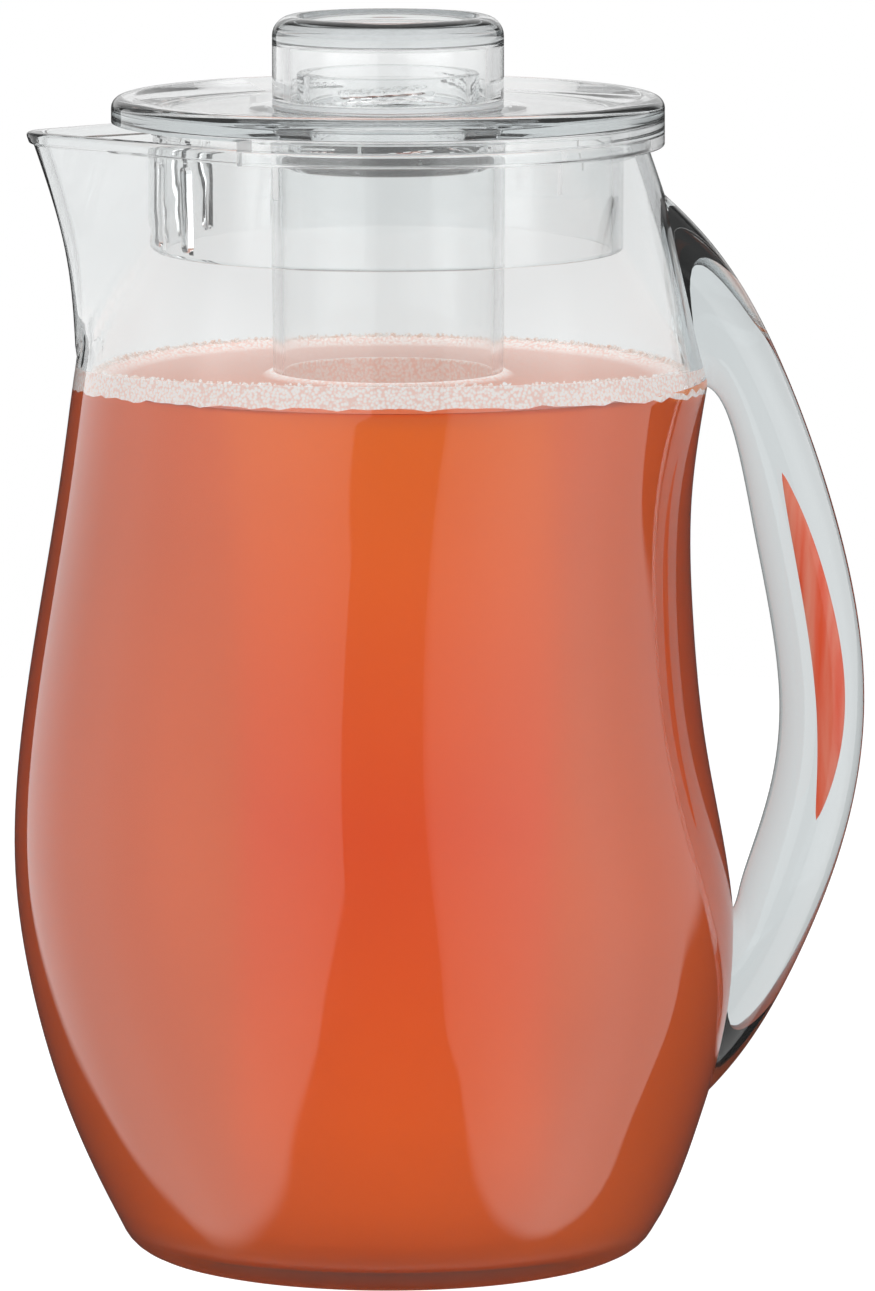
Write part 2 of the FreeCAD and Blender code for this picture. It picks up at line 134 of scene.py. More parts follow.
def spout_reach(height, angle, inset):
    """Distance from the axis to the spout: a round tip between two straight flanks."""
    neck = neck_width(height)
    tip = spout_radius(height)
    centre = neck + spout_proud(height) - tip
    if spout_proud(height) <= 0:
        return 0
    away = abs(math.pi - angle % (2 * math.pi))
    touch = math.acos((neck - tip) / centre)
    small = tip - inset
    tip_end = math.atan2(small * math.sin(touch), centre + small * math.cos(touch))
    if away >= touch:
        return 0
    if away > tip_end:
        return (neck - inset) / math.cos(touch - away)
    return centre * math.cos(away) + math.sqrt(small ** 2 - (centre * math.sin(away)) ** 2)


def neck_reach(height, angle, inset):
    shift = BELLY[-1][2] * BELLY_RADIUS * (RIM - height) / (RIM - CREASE)
    cone = circle_reach(neck_width(height) - inset, shift, angle)
    return max(cone, spout_reach(height, angle, inset))


def jug_reach(height, angle, inset):
    """Distance from the axis to the jug's wall; the inset counts inwards from its outside."""
    if height < CREASE - CREASE_BLEND:
        return belly_reach(height, angle, inset)
    if height > CREASE + CREASE_BLEND:
        return neck_reach(height, angle, inset)
    low, high = belly_reach(height, angle, inset), neck_reach(height, angle, inset)
    shared = max(CREASE_SOFT - abs(low - high), 0) / CREASE_SOFT
    return min(low, high) - shared ** 2 * CREASE_SOFT / 4


def between(start, end, step):
    """Evenly spaced values from start to end, about a step apart, with both ends."""
    count = max(round(abs(end - start) / step), 1)
    return [start + (end - start) * i / count for i in range(count + 1)]


def columns():
    """Directions round the axis, closest together at the spout's narrow tip."""
    half = between(0, 8, 0.8)[:-1] + between(8, 48, 2)[:-1] + between(48, 180, 2.75)
    turns = half + [-turn for turn in half[1:-1]][::-1]
    return [math.radians(180 + turn) for turn in turns]


COLUMNS = columns()


def row(reach, height):
    """One row of points round the axis; reach is a distance or a function of the direction."""
    points = []
    for angle in COLUMNS:
        out = reach(angle) if callable(reach) else reach
        points.append(Vector((out * math.cos(angle), out * math.sin(angle), height)))
    return points


def wall_row(height, inset):
    return row(lambda angle: jug_reach(height, angle, inset), height)


HOLD = 0.3 * MM


def rounded(corners, closed=False):
    """Outline through corners (across, up, radius), each turned with an arc of that radius. A point
    close before and after each arc keeps the flats beside it flat when the surface is shaded."""
    count = len(corners)
    points = []
    for i, (across, up, radius) in enumerate(corners):
        here = Vector((across, up))
        if radius == 0 or (not closed and i in (0, count - 1)):
            points.append(here)
            continue
        back = Vector(corners[i - 1][:2]) - here
        ahead = Vector(corners[(i + 1) % count][:2]) - here
        half = back.angle(ahead) / 2
        length = radius / math.tan(half)
        steps = max(round(math.degrees(math.pi - 2 * half) / 11), 2)
        middle = here + (back.normalized() + ahead.normalized()).normalized() * radius / math.sin(half)
        start = here + back.normalized() * length - middle
        end = here + ahead.normalized() * length - middle
        points.append(middle + start + back.normalized() * HOLD)
        turn = start.angle_signed(end)
        for step in range(steps + 1):
            angle = -turn * step / steps
            points.append(middle + Vector((
                start.x * math.cos(angle) - start.y * math.sin(angle),
                start.x * math.sin(angle) + start.y * math.cos(angle))))
        points.append(middle + end + ahead.normalized() * HOLD)
    return points


SHARP = math.radians(32)


def smooth(mesh):
    """Shade smooth, but for the edges that turn sharply."""
    mesh.shade_smooth()
    mesh.set_sharp_from_angle(angle=SHARP)


def closed_surface(name, rows, ring=False):
    """Closed mesh through rows of points; a row of one point is a pole."""
    points, faces, starts = [], [], []
    for line in rows:
        starts.append(len(points))
        points += line
    pairs = [(i, i + 1) for i in range(len(rows) - 1)] + ([(len(rows) - 1, 0)] if ring else [])
    for a, b in pairs:
        wide = max(len(rows[a]), len(rows[b]))
        for j in range(wide):
            k = (j + 1) % wide
            face = []
            for line, column in ((a, j), (a, k), (b, k), (b, j)):
                corner = starts[line] + (column if len(rows[line]) > 1 else 0)
                if corner not in face:
                    face.append(corner)
            faces.append(face)
    mesh = bpy.data.meshes.new(name)
    mesh.from_pydata(points, [], faces)
    shell = bmesh.new()
    shell.from_mesh(mesh)
    bmesh.ops.recalc_face_normals(shell, faces=shell.faces)
    shell.to_mesh(mesh)
    shell.free()
    smooth(mesh)
    piece = bpy.data.objects.new(name, mesh)
    bpy.context.scene.collection.objects.link(piece)
    return piece


def base_corner(bottom, inset, radius):
    """Rows of the round edge between a flat bottom and the belly's side, from the centre out."""
    low = belly_width(0) * BELLY_RADIUS - inset
    rise = BELLY[1][0] * (CREASE - bottom)
    high = belly_width(BELLY[1][0]) * BELLY_RADIUS - inset
    corner = rounded(((0, bottom, 0), (low, bottom, radius), (high, bottom + rise, 0)))
    arc = corner[1:-1]
    flats = between(0, arc[0].x, 8 * MM)[1:-1]
    return [row(out, bottom) for out in flats] + [row(point.x, point.y) for point in arc], arc[-1].y


def wall_heights(low, high):
    """Heights of the rows of a wall, closer together at the crease."""
    below = between(low, CREASE - 3 * MM, 3.4 * MM)[1:]
    crease = between(CREASE - 3 * MM, CREASE + 3 * MM, 0.4 * MM)[1:]
    above = between(CREASE + 3 * MM, high, 2.4 * MM)[1:]
    return below + crease + above


def jug_shell():
    """Outside of the jug from the base's centre up, over the rim's bead and down inside."""
    outside, outside_start = base_corner(0, 0, BASE_ROUND)
    inside, inside_start = base_corner(FLOOR, WALL, FLOOR_ROUND)
    lip_low = RIM - LIP_HEIGHT
    bead = rounded((
        (0, lip_low - 2 * MM, 0),
        (0, lip_low, 0.5 * MM),
        (-LIP_PROUD, lip_low + 0.3 * MM, 0.5 * MM),
        (-LIP_PROUD, RIM, 1.1 * MM),
        (WALL, RIM, 1.3 * MM),
        (WALL, lip_low - 2 * MM, 0),
    ))
    rows = [[Vector((0, 0, 0))]] + outside
    rows += [wall_row(height, 0) for height in wall_heights(outside_start, lip_low - 2 * MM)[:-1]]
    rows += [wall_row(point.y, point.x) for point in bead]
    inner = wall_heights(inside_start, lip_low - 2 * MM)[:-1]
    rows += [wall_row(height, WALL) for height in reversed(inner)]
    rows += list(reversed(inside)) + [[Vector((0, 0, FLOOR))]]
    return closed_surface("jug_body_clear", rows)


def boolean(piece, tool, operation):
    """Cut a tool from a piece, or join it on, and remove the tool."""
    change = piece.modifiers.new("Change", "BOOLEAN")
    change.operation = operation
    change.object = tool
    change.solver = "EXACT"
    evaluated = piece.evaluated_get(bpy.context.evaluated_depsgraph_get())
    mesh = bpy.data.meshes.new_from_object(evaluated)
    piece.modifiers.clear()
    piece.data = mesh
    bpy.data.objects.remove(tool)
    smooth(mesh)


def moulded_surface():
    """Group: the faint waviness of a moulded plastic wall, and its fine wiping marks as haze."""
    group = bpy.data.node_groups.new("Moulded surface", "ShaderNodeTree")
    for name, value in (("Wave size", 30.0), ("Waviness", 0.05), ("Roughness", 0.01), ("Haze", 0.03)):
        group.interface.new_socket(name, in_out="INPUT", socket_type="NodeSocketFloat").default_value = value
    group.interface.new_socket("Roughness", in_out="OUTPUT", socket_type="NodeSocketFloat")
    group.interface.new_socket("Normal", in_out="OUTPUT", socket_type="NodeSocketVector")
    nodes, link = group.nodes, group.links.new
    given = nodes.new("NodeGroupInput")
    result = nodes.new("NodeGroupOutput")
    place = nodes.new("ShaderNodeTexCoord")
    waves = nodes.new("ShaderNodeTexNoise")
    waves.inputs["Detail"].default_value = 1
    link(place.outputs["Object"], waves.inputs["Vector"])
    link(given.outputs["Wave size"], waves.inputs["Scale"])
    bump = nodes.new("ShaderNodeBump")
    bump.inputs["Distance"].default_value = 1 * MM
    link(given.outputs["Waviness"], bump.inputs["Strength"])
    link(waves.outputs["Fac"], bump.inputs["Height"])
    stretch = nodes.new("ShaderNodeMapping")
    stretch.inputs["Scale"].default_value = (260, 260, 30)
    link(place.outputs["Object"], stretch.inputs["Vector"])
    marks = nodes.new("ShaderNodeTexNoise")
    marks.inputs["Scale"].default_value = 3
    marks.inputs["Detail"].default_value = 4
    link(stretch.outputs["Vector"], marks.inputs["Vector"])
    worn = nodes.new("ShaderNodeMapRange")
    worn.inputs["From Min"].default_value = 0.55
    worn.inputs["From Max"].default_value = 0.8
    link(marks.outputs["Fac"], worn.inputs["Value"])
    link(given.outputs["Roughness"], worn.inputs["To Min"])
    link(given.outputs["Haze"], worn.inputs["To Max"])
    link(worn.outputs["Result"], result.inputs["Roughness"])
    link(bump.outputs["Normal"], result.inputs["Normal"])
    return group


MOULDED = moulded_surface()


def clear_plastic(name, waviness, haze, tint, density, bend):
    """Clear moulded plastic whose tint shows only where light runs a long way inside it."""
    material = bpy.data.materials.new(name)
    material.use_nodes = True
    nodes, link = material.node_tree.nodes, material.node_tree.links.new
    shader = nodes["Principled BSDF"]
    shader.inputs["Base Color"].default_value = (0.985, 0.99, 0.99, 1)
    shader.inputs["Transmission Weight"].default_value = 0.985
    shader.inputs["IOR"].default_value = bend
    surface = nodes.new("ShaderNodeGroup")
    surface.node_tree = MOULDED
    surface.inputs["Waviness"].default_value = waviness
    surface.inputs["Haze"].default_value = haze
    link(surface.outputs["Roughness"], shader.inputs["Roughness"])
    link(surface.outputs["Normal"], shader.inputs["Normal"])
    inside = nodes.new("ShaderNodeVolumeAbsorption")
    inside.inputs["Color"].default_value = tint
    inside.inputs["Density"].default_value = density
    link(inside.outputs["Volume"], nodes["Material Output"].inputs["Volume"])
    return material


def lets_light_in(piece):
    """Lamps and bounced light pass through clear plastic to what is inside it."""
    piece.visible_shadow = False
    piece.visible_diffuse = False


PLASTIC_TINT = (0.48, 0.56, 0.58, 1)
jug = jug_shell()

# Handle. A solid clear crescent, moulded by itself and welded to the jug's neck and lower belly, so
# light runs from one into the other without a break.

HANDLE_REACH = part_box("handle")[1].x
HANDLE_DEPTH = 23 * MM
OVAL_FULLNESS = 0.86
OVAL_POINTS = 48
# Outer and inner point of each section, as shares of the handle's reach and of the rim's height,
# and the section's own share of the handle's depth
GRIP = (
    (0.465, 0.984, 0.55, 0.756, 1.2),
    (0.67, 0.904, 0.674, 0.772, 1.1),
    (0.823, 0.795, 0.739, 0.705, 1),
    (0.944, 0.65, 0.774, 0.63, 1),
    (1, 0.512, 0.82, 0.51, 1),
    (0.972, 0.39, 0.8, 0.407, 1),
    (0.879, 0.276, 0.745, 0.331, 1.05),
    (0.735, 0.169, 0.71, 0.295, 1.15),
    (0.54, 0.087, 0.577, 0.26, 1.25),
)


def oval(at, curves):
    """Section of the handle: an ellipse with its corners filled out."""
    outer_x, outer_z, inner_x, inner_z, depth = (curve(at) for curve in curves)
    outer = Vector((outer_x * HANDLE_REACH, 0, outer_z * RIM))
    inner = Vector((inner_x * HANDLE_REACH, 0, inner_z * RIM))
    points = []
    for step in range(OVAL_POINTS):
        angle = 2 * math.pi * step / OVAL_POINTS
        out = math.copysign(abs(math.cos(angle)) ** OVAL_FULLNESS, math.cos(angle))
        side = math.copysign(abs(math.sin(angle)) ** OVAL_FULLNESS, math.sin(angle))
        point = (outer + inner) / 2 + (outer - inner) / 2 * out
        point.y = side * depth * HANDLE_DEPTH / 2
        points.append(point)
    return points


def handle_crescent():
    places = range(len(GRIP))
    curves = [spline(places, values) for values in zip(*GRIP)]
    sections = [oval(at, curves) for at in between(0, len(GRIP) - 1, 0.08)]
    ends = [[sum(line, Vector()) / len(line)] for line in (sections[0], sections[-1])]
    return closed_surface("handle_crescent", [ends[0]] + sections + [ends[1]])


def middle_of_wall():
    """Form whose side lies in the middle of the jug's wall, where the handle's root ends."""
    bottom = FLOOR / 2
    foot, start = base_corner(bottom, WALL / 2, BASE_ROUND)
    rows = [[Vector((0, 0, bottom))]] + foot
    rows += [wall_row(height, WALL / 2) for height in wall_heights(start, RIM + 4 * MM)]
    return closed_surface("middle_of_wall", rows + [[Vector((0, 0, RIM + 4 * MM))]])


handle = handle_crescent()
boolean(handle, middle_of_wall(), "DIFFERENCE")
boolean(jug, handle, "UNION")
jug.name = "jug_with_handle"
jug.data.materials.clear()
jug.data.materials.append(clear_plastic("Clear jug plastic", 0.015, 0.06, PLASTIC_TINT, 28, 1.42))
lets_light_in(jug)
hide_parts("jug_body", "handle")
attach(jug, "jug")

# Ice tube. A long closed tube of thin clear plastic with a round foot, moulded on a core, with three
# short ridges inside its mouth that screw it on the collar under the lid.

TUBE_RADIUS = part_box("ice_tube")[1].y
TUBE_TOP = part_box("ice_tube")[1].z
TUBE_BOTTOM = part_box("ice_tube")[0].z
TUBE_DRAFT = 1.8 * MM
TUBE_WALL = 2.4 * MM
TUBE_ROUND = 14 * MM
RIDGE_DEPTH = 1.1 * MM
RIDGE_HALF = 0.5 * MM
RIDGE_TURN = 55
RIDGE_END = 6
STARTS = 3
THREAD_ROOM = 0.4 * MM
TURNED_COLUMNS = 144


def ridge_share(angle, height, level, lead):
    """How much of a thread's ridge stands at this place; the ridges start a third of a turn apart."""
    turn = math.degrees(angle) % (360 / STARTS)
    if turn > RIDGE_TURN:
        return 0
    middle = level + lead * turn / 360
    ends = min(turn, RIDGE_TURN - turn, RIDGE_END) / RIDGE_END
    side = max(1.6 - abs(height - middle) / RIDGE_HALF, 0)
    return ends * min(side, 1)


def thread_levels(level, lead):
    """Heights close enough together to draw the ridges of a thread, from the bottom up."""
    return between(level - 2 * RIDGE_HALF, level + lead * RIDGE_TURN / 360 + 2 * RIDGE_HALF, 0.25 * MM)


def turned(name, outline, threads=(), ring=False):
    """Solid of revolution about the axis. Each thread is (radius, side, level, lead): its ridges
    stand out of the wall of that radius, inwards or outwards."""
    rows = []
    for out, up in outline:
        if out < 1e-6:
            rows.append([Vector((0, 0, up))])
            continue
        line = []
        for column in range(TURNED_COLUMNS):
            angle = 2 * math.pi * column / TURNED_COLUMNS
            reach = out
            for radius, side, level, lead in threads:
                if abs(out - radius) < 0.2 * MM:
                    reach += side * RIDGE_DEPTH * ridge_share(angle, up, level, lead)
            line.append(Vector((reach * math.cos(angle), reach * math.sin(angle), up)))
        rows.append(line)
    return closed_surface(name, rows, ring)


def tube_reach(height, wall):
    """Radius of the tube's wall, which narrows a little towards its foot."""
    return TUBE_RADIUS - wall - TUBE_DRAFT * (TUBE_TOP - height) / (TUBE_TOP - TUBE_BOTTOM)


TUBE_LEAD = 12 * MM
TUBE_RIDGE = TUBE_TOP - 5.2 * MM
tube_threads = [tube_reach(height, TUBE_WALL) for height in thread_levels(TUBE_RIDGE, TUBE_LEAD)]
tube_outline = [Vector((0, TUBE_BOTTOM))] + rounded((
    (0, TUBE_BOTTOM, 0),
    (TUBE_RADIUS - TUBE_DRAFT, TUBE_BOTTOM, TUBE_ROUND),
    (TUBE_RADIUS, TUBE_TOP, 0.6 * MM),
    (TUBE_RADIUS - TUBE_WALL, TUBE_TOP, 0.6 * MM),
    (tube_reach(TUBE_RIDGE, TUBE_WALL), TUBE_RIDGE, 0),
))[1:-1]
tube_outline += [Vector((tube_reach(height, TUBE_WALL), height))
                 for height in reversed(thread_levels(TUBE_RIDGE, TUBE_LEAD))]
tube_outline += rounded((
    (tube_reach(TUBE_RIDGE, TUBE_WALL), TUBE_RIDGE, 0),
    (TUBE_RADIUS - TUBE_DRAFT - TUBE_WALL, TUBE_BOTTOM + TUBE_WALL, TUBE_ROUND - TUBE_WALL),
    (0, TUBE_BOTTOM + TUBE_WALL, 0),
))[1:]
tube = turned("ice_tube_clear", tube_outline,
              [(TUBE_RADIUS - TUBE_WALL, -1, TUBE_RIDGE, TUBE_LEAD)])
tube.data.materials.append(clear_plastic("Clear tube plastic", 0.02, 0.1, PLASTIC_TINT, 3, 1.22))
lets_light_in(tube)
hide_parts("ice_tube")
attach(tube, "ice_tube")

# Seals. Two soft rings of milky silicone, cut flat, one squeezed under the knob and one on top of
# the ice tube.


def milky_silicone():
    material = bpy.data.materials.new("Milky silicone")
    material.use_nodes = True
    nodes, link = material.node_tree.nodes, material.node_tree.links.new
    shader = nodes["Principled BSDF"]
    shader.inputs["Base Color"].default_value = (0.86, 0.88, 0.89, 1)
    shader.inputs["Transmission Weight"].default_value = 0.7
    shader.inputs["IOR"].default_value = 1.41
    place = nodes.new("ShaderNodeTexCoord")
    grain = nodes.new("ShaderNodeTexNoise")
    grain.inputs["Scale"].default_value = 900
    grain.inputs["Detail"].default_value = 3
    link(place.outputs["Object"], grain.inputs["Vector"])
    rough = nodes.new("ShaderNodeMapRange")
    rough.inputs["To Min"].default_value = 0.3
    rough.inputs["To Max"].default_value = 0.5
    link(grain.outputs["Fac"], rough.inputs["Value"])
    link(rough.outputs["Result"], shader.inputs["Roughness"])
    bump = nodes.new("ShaderNodeBump")
    bump.inputs["Strength"].default_value = 0.1
    bump.inputs["Distance"].default_value = 0.1 * MM
    link(grain.outputs["Fac"], bump.inputs["Height"])
    link(bump.outputs["Normal"], shader.inputs["Normal"])
    return material


SEAL_ROUND = 0.35 * MM
silicone = milky_silicone()
for node, body, wall in (("tube_seal", "tube_seal", TUBE_WALL), ("knob_seal", "knob_seal", 4 * MM)):
    low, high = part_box(node)
    outer = high.y
    seal = turned(node + "_ring", rounded((
        (outer - wall, low.z, SEAL_ROUND),
        (outer, low.z, SEAL_ROUND),
        (outer, high.z, SEAL_ROUND),
        (outer - wall, high.z, SEAL_ROUND),
    ), closed=True), ring=True)
    seal.data.materials.append(silicone)
    lets_light_in(seal)
    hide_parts(node)
    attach(seal, body)

# Lid. A clear moulding that drops in the mouth: a dished plate, a flange over the rim that stops at
# the spout, a skirt with strainer slots and centring ribs, and a threaded collar above and below.

SKIRT_RADIUS = 52.8 * MM
SKIRT_WALL = 2.6 * MM
SKIRT_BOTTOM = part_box("lid")[0].z
FLANGE_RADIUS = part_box("lid")[1].y
FLANGE_WALL = 3 * MM
FLANGE_BOTTOM = RIM - 3 * MM
LID_SEAT = RIM + 0.05 * MM
LID_TOP = RIM + 8 * MM
DISH_TOP = LID_TOP - 2.4 * MM
CREST_WIDTH = 5 * MM
PLATE_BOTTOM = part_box("tube_seal")[1].z
KNOB_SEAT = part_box("knob_seal")[0].z
KNOB_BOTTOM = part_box("knob_cap")[0].z
KNOB_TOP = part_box("knob_cap")[1].z
KNOB_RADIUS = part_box("knob_cap")[1].y
KNOB_WALL = 4 * MM
KNOB_LEAD = 9 * MM
SEAT_RADIUS = KNOB_RADIUS + 1.2 * MM
COLLAR_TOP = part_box("lid")[1].z
COLLAR_RADIUS = KNOB_RADIUS - KNOB_WALL - RIDGE_DEPTH - THREAD_ROOM
COLLAR_WALL = 2.8 * MM
TUBE_COLLAR_RADIUS = TUBE_RADIUS - TUBE_WALL - RIDGE_DEPTH - THREAD_ROOM
TUBE_COLLAR_BOTTOM = PLATE_BOTTOM - 11 * MM
CAP_RIDGE = KNOB_BOTTOM + 1.2 * MM
COLLAR_RIDGE = CAP_RIDGE + KNOB_LEAD / STARTS / 2
TUBE_COLLAR_RIDGE = TUBE_RIDGE - TUBE_LEAD / STARTS / 2


def lid_plate():
    """The lid's whole outline, turned: up the collar, over the dish and the flange, down the skirt."""
    soft = 0.5 * MM
    outline = rounded((
        (COLLAR_RADIUS - COLLAR_WALL, DISH_TOP, 0),
        (COLLAR_RADIUS - COLLAR_WALL, COLLAR_TOP, soft),
        (COLLAR_RADIUS, COLLAR_TOP, soft),
        (COLLAR_RADIUS, thread_levels(COLLAR_RIDGE, KNOB_LEAD)[-1], 0),
    ))[:-1]
    outline += [Vector((COLLAR_RADIUS, up)) for up in reversed(thread_levels(COLLAR_RIDGE, KNOB_LEAD))]
    outline += rounded((
        (COLLAR_RADIUS, KNOB_SEAT + 1 * MM, 0),
        (COLLAR_RADIUS, KNOB_SEAT, 0.3 * MM),
        (SEAT_RADIUS, KNOB_SEAT, 0.6 * MM),
        (SEAT_RADIUS + 4 * MM, DISH_TOP, 6 * MM),
        (SKIRT_RADIUS - SKIRT_WALL, DISH_TOP, 8 * MM),
        (FLANGE_RADIUS - CREST_WIDTH, LID_TOP, 2 * MM),
        (FLANGE_RADIUS, LID_TOP, 2.6 * MM),
        (FLANGE_RADIUS, FLANGE_BOTTOM, 0.6 * MM),
        (FLANGE_RADIUS - FLANGE_WALL, FLANGE_BOTTOM, 0.5 * MM),
        (FLANGE_RADIUS - FLANGE_WALL, LID_SEAT, 0.4 * MM),
        (SKIRT_RADIUS, LID_SEAT, 0.4 * MM),
        (SKIRT_RADIUS, SKIRT_BOTTOM, 0.8 * MM),
        (SKIRT_RADIUS - SKIRT_WALL, SKIRT_BOTTOM, 0.8 * MM),
        (SKIRT_RADIUS - SKIRT_WALL, PLATE_BOTTOM, 1.2 * MM),
        (TUBE_COLLAR_RADIUS, PLATE_BOTTOM, 0.4 * MM),
        (TUBE_COLLAR_RADIUS, thread_levels(TUBE_COLLAR_RIDGE, TUBE_LEAD)[-1], 0),
    ))[1:-1]
    outline += [Vector((TUBE_COLLAR_RADIUS, up))
                for up in reversed(thread_levels(TUBE_COLLAR_RIDGE, TUBE_LEAD))]
    outline += rounded((
        (TUBE_COLLAR_RADIUS, TUBE_COLLAR_RIDGE - 1.1 * MM, 0),
        (TUBE_COLLAR_RADIUS, TUBE_COLLAR_BOTTOM, COLLAR_WALL * 0.45),
        (TUBE_COLLAR_RADIUS - COLLAR_WALL, TUBE_COLLAR_BOTTOM, COLLAR_WALL * 0.45),
        (TUBE_COLLAR_RADIUS - COLLAR_WALL, PLATE_BOTTOM, 0),
    ))[1:]
    threads = [(COLLAR_RADIUS, 1, COLLAR_RIDGE, KNOB_LEAD),
               (TUBE_COLLAR_RADIUS, 1, TUBE_COLLAR_RIDGE, TUBE_LEAD)]
    return turned("lid_clear", outline, threads, ring=True)


lid = lid_plate()
SPOUT_CUT = math.radians(58)
SPOUT_LEDGE = 0.8 * MM
CUT_OVER = 2 * MM


def flange_cutter():
    """Sector that takes the flange under the plate away over the spout."""
    low, high = FLANGE_BOTTOM - CUT_OVER, PLATE_BOTTOM
    inner, outer = SKIRT_RADIUS + SPOUT_LEDGE, FLANGE_RADIUS + 4 * CUT_OVER
    arc = between(math.pi - SPOUT_CUT, math.pi + SPOUT_CUT, math.radians(2.5))
    rows = []
    for angle in arc:
        out = Vector((math.cos(angle), math.sin(angle), 0))
        rows.append([out * reach + Vector((0, 0, up))
                     for reach, up in ((inner, low), (outer, low), (outer, high), (inner, high))])
    ends = [[sum(line, Vector()) / 4] for line in (rows[0], rows[-1])]
    return closed_surface("flange_cutter", [ends[0]] + rows + [ends[1]])


boolean(lid, flange_cutter(), "DIFFERENCE")


def strainer_slots():
    """Geometry nodes: a fan of upright slots with round ends, cut through the skirt."""
    tree = bpy.data.node_groups.new("Strainer slots", "GeometryNodeTree")
    names = {}
    for name, kind in (("Geometry", "Geometry"), ("Slots", "Int"), ("Spread", "Float"), ("Width", "Float"),
                       ("Length", "Float"), ("Depth", "Float"), ("Reach", "Float"), ("Height", "Float"),
                       ("Finish", "Material")):
        socket = tree.interface.new_socket(name, in_out="INPUT", socket_type="NodeSocket" + kind)
        names[name] = socket.identifier
    tree.interface.new_socket("Geometry", in_out="OUTPUT", socket_type="NodeSocketGeometry")
    nodes, link = tree.nodes, tree.links.new
    given, result = nodes.new("NodeGroupInput"), nodes.new("NodeGroupOutput")

    def maths(operation, first, second):
        node = nodes.new("ShaderNodeMath")
        node.operation = operation
        for socket, value in zip(node.inputs, (first, second)):
            if isinstance(value, (int, float)):
                socket.default_value = value
            else:
                link(value, socket)
        return node.outputs[0]

    def vector(x, y, z):
        node = nodes.new("ShaderNodeCombineXYZ")
        for socket, value in zip(node.inputs, (x, y, z)):
            if isinstance(value, (int, float)):
                socket.default_value = value
            else:
                link(value, socket)
        return node.outputs[0]

    bar = nodes.new("GeometryNodeMeshCube")
    straight = maths("SUBTRACT", given.outputs["Length"], given.outputs["Width"])
    link(vector(given.outputs["Depth"], given.outputs["Width"], straight), bar.inputs["Size"])
    ends = []
    for side in (-0.5, 0.5):
        end = nodes.new("GeometryNodeMeshCylinder")
        end.inputs["Vertices"].default_value = 32
        link(maths("MULTIPLY", given.outputs["Width"], 0.4999), end.inputs["Radius"])
        link(given.outputs["Depth"], end.inputs["Depth"])
        turn = nodes.new("GeometryNodeTransform")
        turn.inputs["Rotation"].default_value = (0, math.pi / 2, 0)
        link(end.outputs["Mesh"], turn.inputs["Geometry"])
        link(vector(0, 0, maths("MULTIPLY", straight, side)), turn.inputs["Translation"])
        ends.append(turn.outputs["Geometry"])
    slot = nodes.new("GeometryNodeMeshBoolean")
    slot.operation = "UNION"
    for part in [bar.outputs["Mesh"]] + ends:
        link(part, slot.inputs["Mesh 2"])
    line = nodes.new("GeometryNodeMeshLine")
    link(given.outputs["Slots"], line.inputs["Count"])
    share = maths("DIVIDE", nodes.new("GeometryNodeInputIndex").outputs[0],
                  maths("SUBTRACT", given.outputs["Slots"], 1))
    turned_by = maths("ADD", maths("MULTIPLY", maths("SUBTRACT", share, 0.5), given.outputs["Spread"]), math.pi)
    reach = given.outputs["Reach"]
    place = nodes.new("GeometryNodeSetPosition")
    link(line.outputs["Mesh"], place.inputs["Geometry"])
    across = maths("MULTIPLY", maths("COSINE", turned_by, 0), reach)
    deep = maths("MULTIPLY", maths("SINE", turned_by, 0), reach)
    link(vector(across, deep, given.outputs["Height"]), place.inputs["Position"])
    copies = nodes.new("GeometryNodeInstanceOnPoints")
    link(place.outputs["Geometry"], copies.inputs["Points"])
    link(slot.outputs["Mesh"], copies.inputs["Instance"])
    facing = nodes.new("FunctionNodeEulerToRotation")
    link(vector(0, 0, turned_by), facing.inputs["Euler"])
    link(facing.outputs["Rotation"], copies.inputs["Rotation"])
    real = nodes.new("GeometryNodeRealizeInstances")
    link(copies.outputs["Instances"], real.inputs["Geometry"])
    cut = nodes.new("GeometryNodeMeshBoolean")
    cut.operation = "DIFFERENCE"
    link(given.outputs["Geometry"], cut.inputs["Mesh 1"])
    link(real.outputs["Geometry"], cut.inputs["Mesh 2"])
    finish = nodes.new("GeometryNodeSetMaterial")
    link(cut.outputs["Mesh"], finish.inputs["Geometry"])
    link(given.outputs["Finish"], finish.inputs["Material"])
    link(finish.outputs["Geometry"], result.inputs["Geometry"])
    return tree, names


def run_nodes(piece, tree, names, values):
    """Run a geometry nodes tree on a piece and keep the result as its plain mesh."""
    modifier = piece.modifiers.new("Nodes", "NODES")
    modifier.node_group = tree
    for name, value in values.items():
        modifier[names[name]] = value
    evaluated = piece.evaluated_get(bpy.context.evaluated_depsgraph_get())
    mesh = bpy.data.meshes.new_from_object(evaluated)
    piece.modifiers.clear()
    piece.data = mesh
    smooth(mesh)


SLOT_WIDTH = 2.8 * MM
SLOT_LOW = SKIRT_BOTTOM + 1.7 * MM
SLOT_HIGH = RIM - 5.8 * MM
lid_plastic = clear_plastic("Clear lid plastic", 0.01, 0.14, PLASTIC_TINT, 7, 1.36)
slots_tree, slots_names = strainer_slots()
run_nodes(lid, slots_tree, slots_names, {
    "Slots": 5,
    "Spread": math.radians(66),
    "Width": SLOT_WIDTH,
    "Length": SLOT_HIGH - SLOT_LOW,
    "Depth": 8 * MM,
    "Reach": SKIRT_RADIUS - SKIRT_WALL / 2,
    "Height": (SLOT_LOW + SLOT_HIGH) / 2,
    "Finish": lid_plastic,
})


